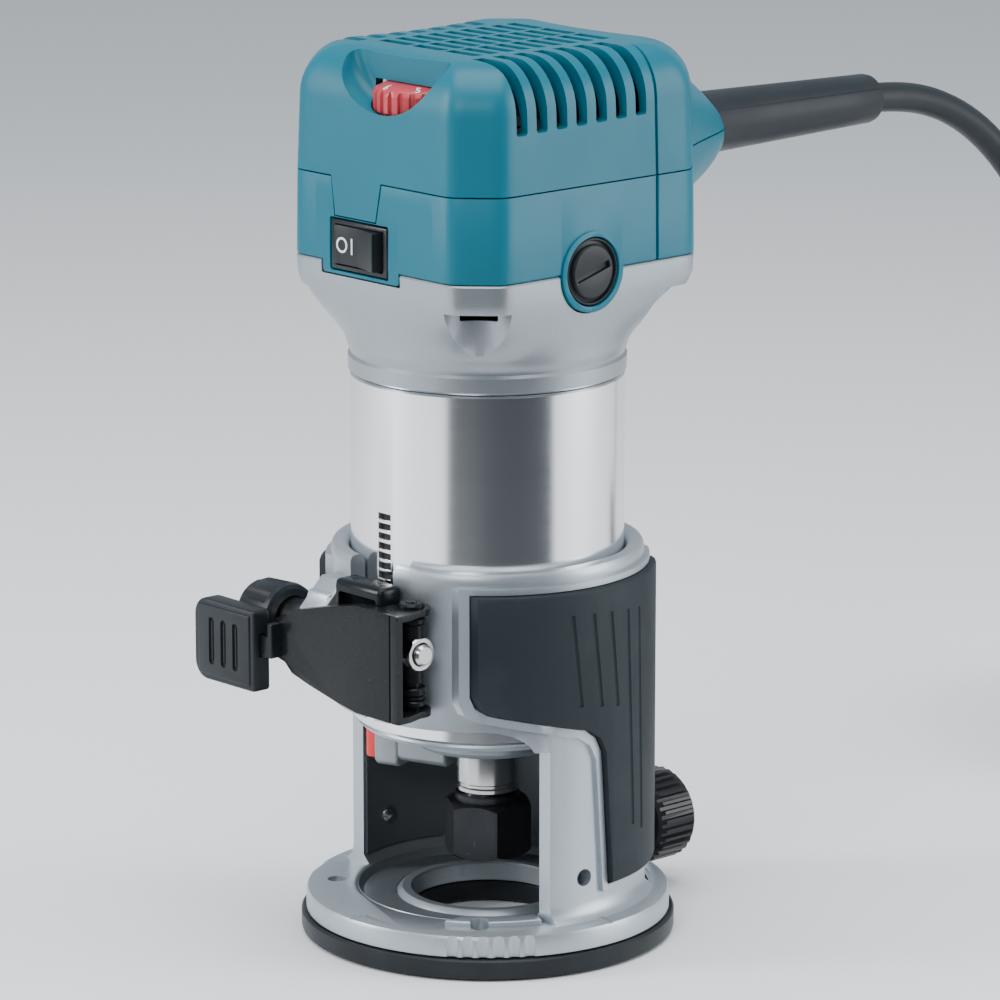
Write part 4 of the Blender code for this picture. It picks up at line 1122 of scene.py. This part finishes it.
def makeDial():
    values = dialValues
    x, y, z, radius, half = (values[key] for key in ("x", "y", "z", "radius", "half"))
    outline = gearOutline((x, y), 26, radius - 0.75, radius, 0, (0.32, 0.24))
    ribs = prism(outline, "Z", z - half, z + half)
    trim = spun([(0, 3.4), (9.0, 3.4), (11.5, 2.3), (12, 1.4), (12, -2.6), (11, -3.4), (0, -3.4)], 96,
                (x, y, z))
    wheel = shaped(ribs, ("keep", trim))
    finished("speedDial", softened(wheel, 0.15), looks["dial"], "dial", ["speed_dial"], 25)
    numbers = []
    for number in range(1, 7):
        data = bpy.data.curves.new("number", "FONT")
        data.body = str(number)
        data.size = values["numberSize"]
        data.align_x = "CENTER"
        data.align_y = "CENTER"
        data.extrude = 0.05
        letter = objectOf(data)
        mesh = bpy.data.meshes.new_from_object(letter.evaluated_get(bpy.context.evaluated_depsgraph_get()))
        bpy.data.objects.remove(letter)
        turn = math.radians((6 - number) * values["numberStep"])
        lean = Matrix.Rotation(math.radians(24), 4, "X")
        mesh.transform(Matrix.Translation((x, y, z)) @ Matrix.Rotation(turn - math.radians(10), 4, "Z")
                       @ Matrix.Translation((0, -10.2, 2.98)) @ lean)
        numbers.append(mesh)
    finished("dialNumbers", together(*numbers), looks["mark"], "dial")


def makeGuard():
    profile = [(0, 128.2), (3.9, 128.2), (5.2, 128.0), (5.9, 127.4), (6.2, 126.2), (6.5, 114), (7.2, 88),
               (7.7, 69.4), (7.9, 68.6), (7.9, 62.2), (0, 62.2)]
    guard = spun(profile, 72, (0, 0, 188), (0, 1, 0))
    line = block((-0.25, 69, 179.8), (0.25, 127, 196.2))
    line.transform(Matrix.Translation((0, 0, 188)) @ Matrix.Rotation(math.radians(62), 4, "Y")
                   @ Matrix.Translation((0, 0, -188)))
    thin = spun([(0, 127.6), (5.95, 127.2), (6.35, 114), (7.05, 88), (7.55, 69.4), (0, 69)], 72,
                (0, 0, 188), (0, 1, 0))
    line = shaped(line, ("cut", thin))
    return finished("cordGuard", shaped(guard, ("cut", line)), looks["cord"], "motor_unit", ["cord_guard"])


def dressInside():
    # the parts that stay out of sight keep their plain shapes and get their finish
    wear = {"steel": ("field_core", "lower_bearing", "upper_bearing", "armature_core", "cord_clamp"),
            "copper": ("field_coil_upper", "field_coil_lower", "commutator"),
            "brass": ("brush_holder_right", "brush_holder_left"),
            "brightSpring": ("brush_spring_right", "brush_spring_left"),
            "darkInside": ("baffle_plate", "bearing_bridge", "speed_controller", "cooling_fan",
                           "carbon_brush_right", "carbon_brush_left")}
    for look, names in wear.items():
        for name in names:
            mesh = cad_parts[name].data
            mesh.materials.clear()
            mesh.materials.append(looks[look])


# ---- the cord, its coil and its plug ----
cordValues = {"radius": 3.75, "coilX": 0.0, "coilY": 268.0, "coilRadius": 44.0, "coilTop": 21.0,
              "coilStart": -49, "laps": 7.8, "easePasses": 26}
plugValues = {"x": 44.0, "tail": 246.0, "face": 298.0, "z": 34.6}


def smoothLine(route, parts=10):
    route = [Vector(p) for p in route]
    ends = [2 * route[0] - route[1], *route, 2 * route[-1] - route[-2]]
    line = []
    for a, b, c, d in zip(ends, ends[1:], ends[2:], ends[3:]):
        for k in range(parts):
            t = k / parts
            line.append(0.5 * (2 * b + (c - a) * t + (2 * a - 5 * b + 4 * c - d) * t * t
                               + (3 * b - 3 * c + d - a) * t ** 3))
    return [*line, route[-1]]


def eased(line, passes):
    # each pass draws every point towards its neighbours, which opens out tight bends
    for _ in range(passes):
        line = [line[0], *((a + 2 * b + c) / 4 for a, b, c in zip(line, line[1:], line[2:])), line[-1]]
    return line


def coilSpot(lap):
    # each lap keeps its own place in the hank and moves over to the next in its last part
    values = cordValues
    places = [(51.5, 3.95), (44, 3.95), (36.5, 3.95), (40.25, 10.5), (47.75, 10.5), (51.5, 17.0), (44, 17.0),
              (36.5, 17.0)]
    lap = max(0.0, min(lap, 7.999))
    number = int(lap)
    part = lap - number
    radius, height = places[number]
    if number == 7:
        # the last lap rolls up over its neighbour towards the plug
        climb = min(1.0, max(0.0, (part - 0.3) / 0.5))
        turn = math.radians(180 - 90 * climb * climb * (3 - 2 * climb))
        return 44 + 7.6 * math.cos(turn), 17.0 + 7.9 * math.sin(turn) + 0.25 * climb
    share = min(1.0, max(0.0, (part - 0.5) / 0.5))
    share = share * share * (3 - 2 * share)
    after = places[number + 1]
    radius += (after[0] - radius) * share
    height += (after[1] - height) * share
    if number == 0:
        # the first lap comes down from outside the hank
        early = lap * 360
        radius += 8.75 * max(0.0, 1 - early / 85) ** 2
        height += 11.55 * max(0.0, 1 - early / 60) ** 2
    return radius, max(height, values["radius"] + 0.2)


def coilPoints(start, laps):
    values = cordValues
    count = int(laps * 30)
    points = []
    for k in range(1, count + 1):
        lap = laps * k / count
        radius, height = coilSpot(lap)
        angle = math.radians(start + 360 * lap)
        points.append((values["coilX"] + radius * math.cos(angle), values["coilY"] + radius * math.sin(angle),
                       height))
    return points


def makeCord():
    route = [
        (0, 126, 188), (0, 138, 187.8), (0, 148, 186.2), (0, 160, 182), (0.5, 171, 175), (2, 181, 164.5),
        (4, 189.5, 150), (6.5, 196, 132), (9.5, 200.5, 112), (13, 203.5, 91), (17, 206, 70),
        (21.5, 208.8, 50), (26.5, 212, 34), (32.5, 216.8, 22), (39.5, 222.5, 15.5),
    ]
    values = cordValues
    coil = coilPoints(values["coilStart"], values["laps"])
    tail = []
    low = values["coilTop"] + values["radius"] + 0.4
    for k in range(1, 9):
        turn = math.radians(240 + 105 * k / 8)
        tail.append((values["coilX"] + values["coilRadius"] * math.cos(turn),
                     values["coilY"] + values["coilRadius"] * math.sin(turn) - 19.2 * k / 8,
                     low + (plugValues["z"] - low) * min(1, k / 7.6) ** 1.5))
    tail.append((plugValues["x"], plugValues["tail"] + 3, plugValues["z"]))
    line = eased(smoothLine([*route, *coil, *tail], 4), values["easePasses"])
    data = bpy.data.curves.new("mainsCord", "CURVE")
    data.dimensions = "3D"
    path = data.splines.new("POLY")
    path.points.add(len(line) - 1)
    for spot, point in zip(path.points, line):
        spot.co = (*inFrame(point), 1)
    data.bevel_depth = values["radius"] * mm
    data.bevel_resolution = 6
    data.use_fill_caps = True
    line3d = bpy.data.objects.new("cordLine", data)
    bpy.context.scene.collection.objects.link(line3d)
    mesh = bpy.data.meshes.new_from_object(line3d.evaluated_get(bpy.context.evaluated_depsgraph_get()))
    bpy.data.objects.remove(line3d)
    mesh.materials.clear()
    mesh.materials.append(looks["cord"])
    for face in mesh.polygons:
        face.use_smooth = len(face.vertices) == 4
    cord = objectOf(mesh, "mainsCord")
    length = sum((Vector(b) - Vector(a)).length for a, b in pairwise(line))
    print("cord", round(length), "mm")
    return cord, length * mm, [tuple(inFrame(point)) for point in line]


def makePlug():
    long = plugValues["face"] - plugValues["tail"]
    profile = [(0, long), (15.5, long), (17, long - 0.5), (17.8, long - 1.6), (17.8, long - 9),
               (16.6, long - 12.5), (14.4, long - 16), (12.8, long - 20), (11, long - 26), (8, long - 29)]
    for ring in range(5):
        near = long - 31 - ring * 4
        profile += [(6.9 - ring * 0.3, near), (6.9 - ring * 0.3, near - 2.2), (5.5 - ring * 0.2, near - 2.6),
                    (5.5 - ring * 0.2, near - 3.6)]
    profile += [(4.7, 0.6), (4.4, 0), (0, 0)]
    body = spun(profile, 64)
    body.transform(Matrix.Scale(0.74, 4, (1, 0, 0)))
    body.transform(Matrix.Translation((plugValues["x"], plugValues["tail"], plugValues["z"]))
                   @ toward((0, 1, 0)) @ Matrix.Rotation(math.radians(90), 4, "Z"))
    body = finished("plugBody", softened(body, 0.25), looks["black"], "base", ["plug_body"])
    pins = []
    for number, side in ((1, -1), (2, 1)):
        x = plugValues["x"] + side * 9.5
        start = Vector((x, plugValues["face"] + 0.3, plugValues["z"]))
        pin = spun([(0, 18.7), (1.4, 18.7), (2.1, 18), (2.4, 17), (2.4, 0), (0, 0)], 32, start, (0, 1, 0))
        pins.append(finished(f"plugPin{number}", pin, looks["brass"], "base", [f"plug_pin_{number}"]))
    return [body, *pins]


def main():
    makeLooks()
    makeCamera(cameraSettings)
    makeStudio()
    dressInside()
    print("studio and looks ready")
    makeHead()
    makeCollar()
    makeBrushCaps()
    print("head ready")
    makeTube()
    makeNose()
    makeNoseCap()
    makeLockButton()
    makeSpindle()
    makeCollet()
    makeColletNut()
    print("motor ready")
    makeBase()
    makeGrips()
    makeLiner()
    makeSole()
    print("base ready")
    makeClamp()
    makeLeverPivot()
    makeClampCover()
    makeLeverArm()
    makePaddle()
    makePinionGear()
    makePinionKnob()
    makeGuideScrew()
    print("clamp ready")
    makeSwitch()
    makeDial()
    guard = makeGuard()
    cord, length, path = makeCord()
    pieces = [guard, *makePlug()]
    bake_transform(cord)
    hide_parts("power_cord", "cord_coil", "cord_end")
    print("cord ready")


main()
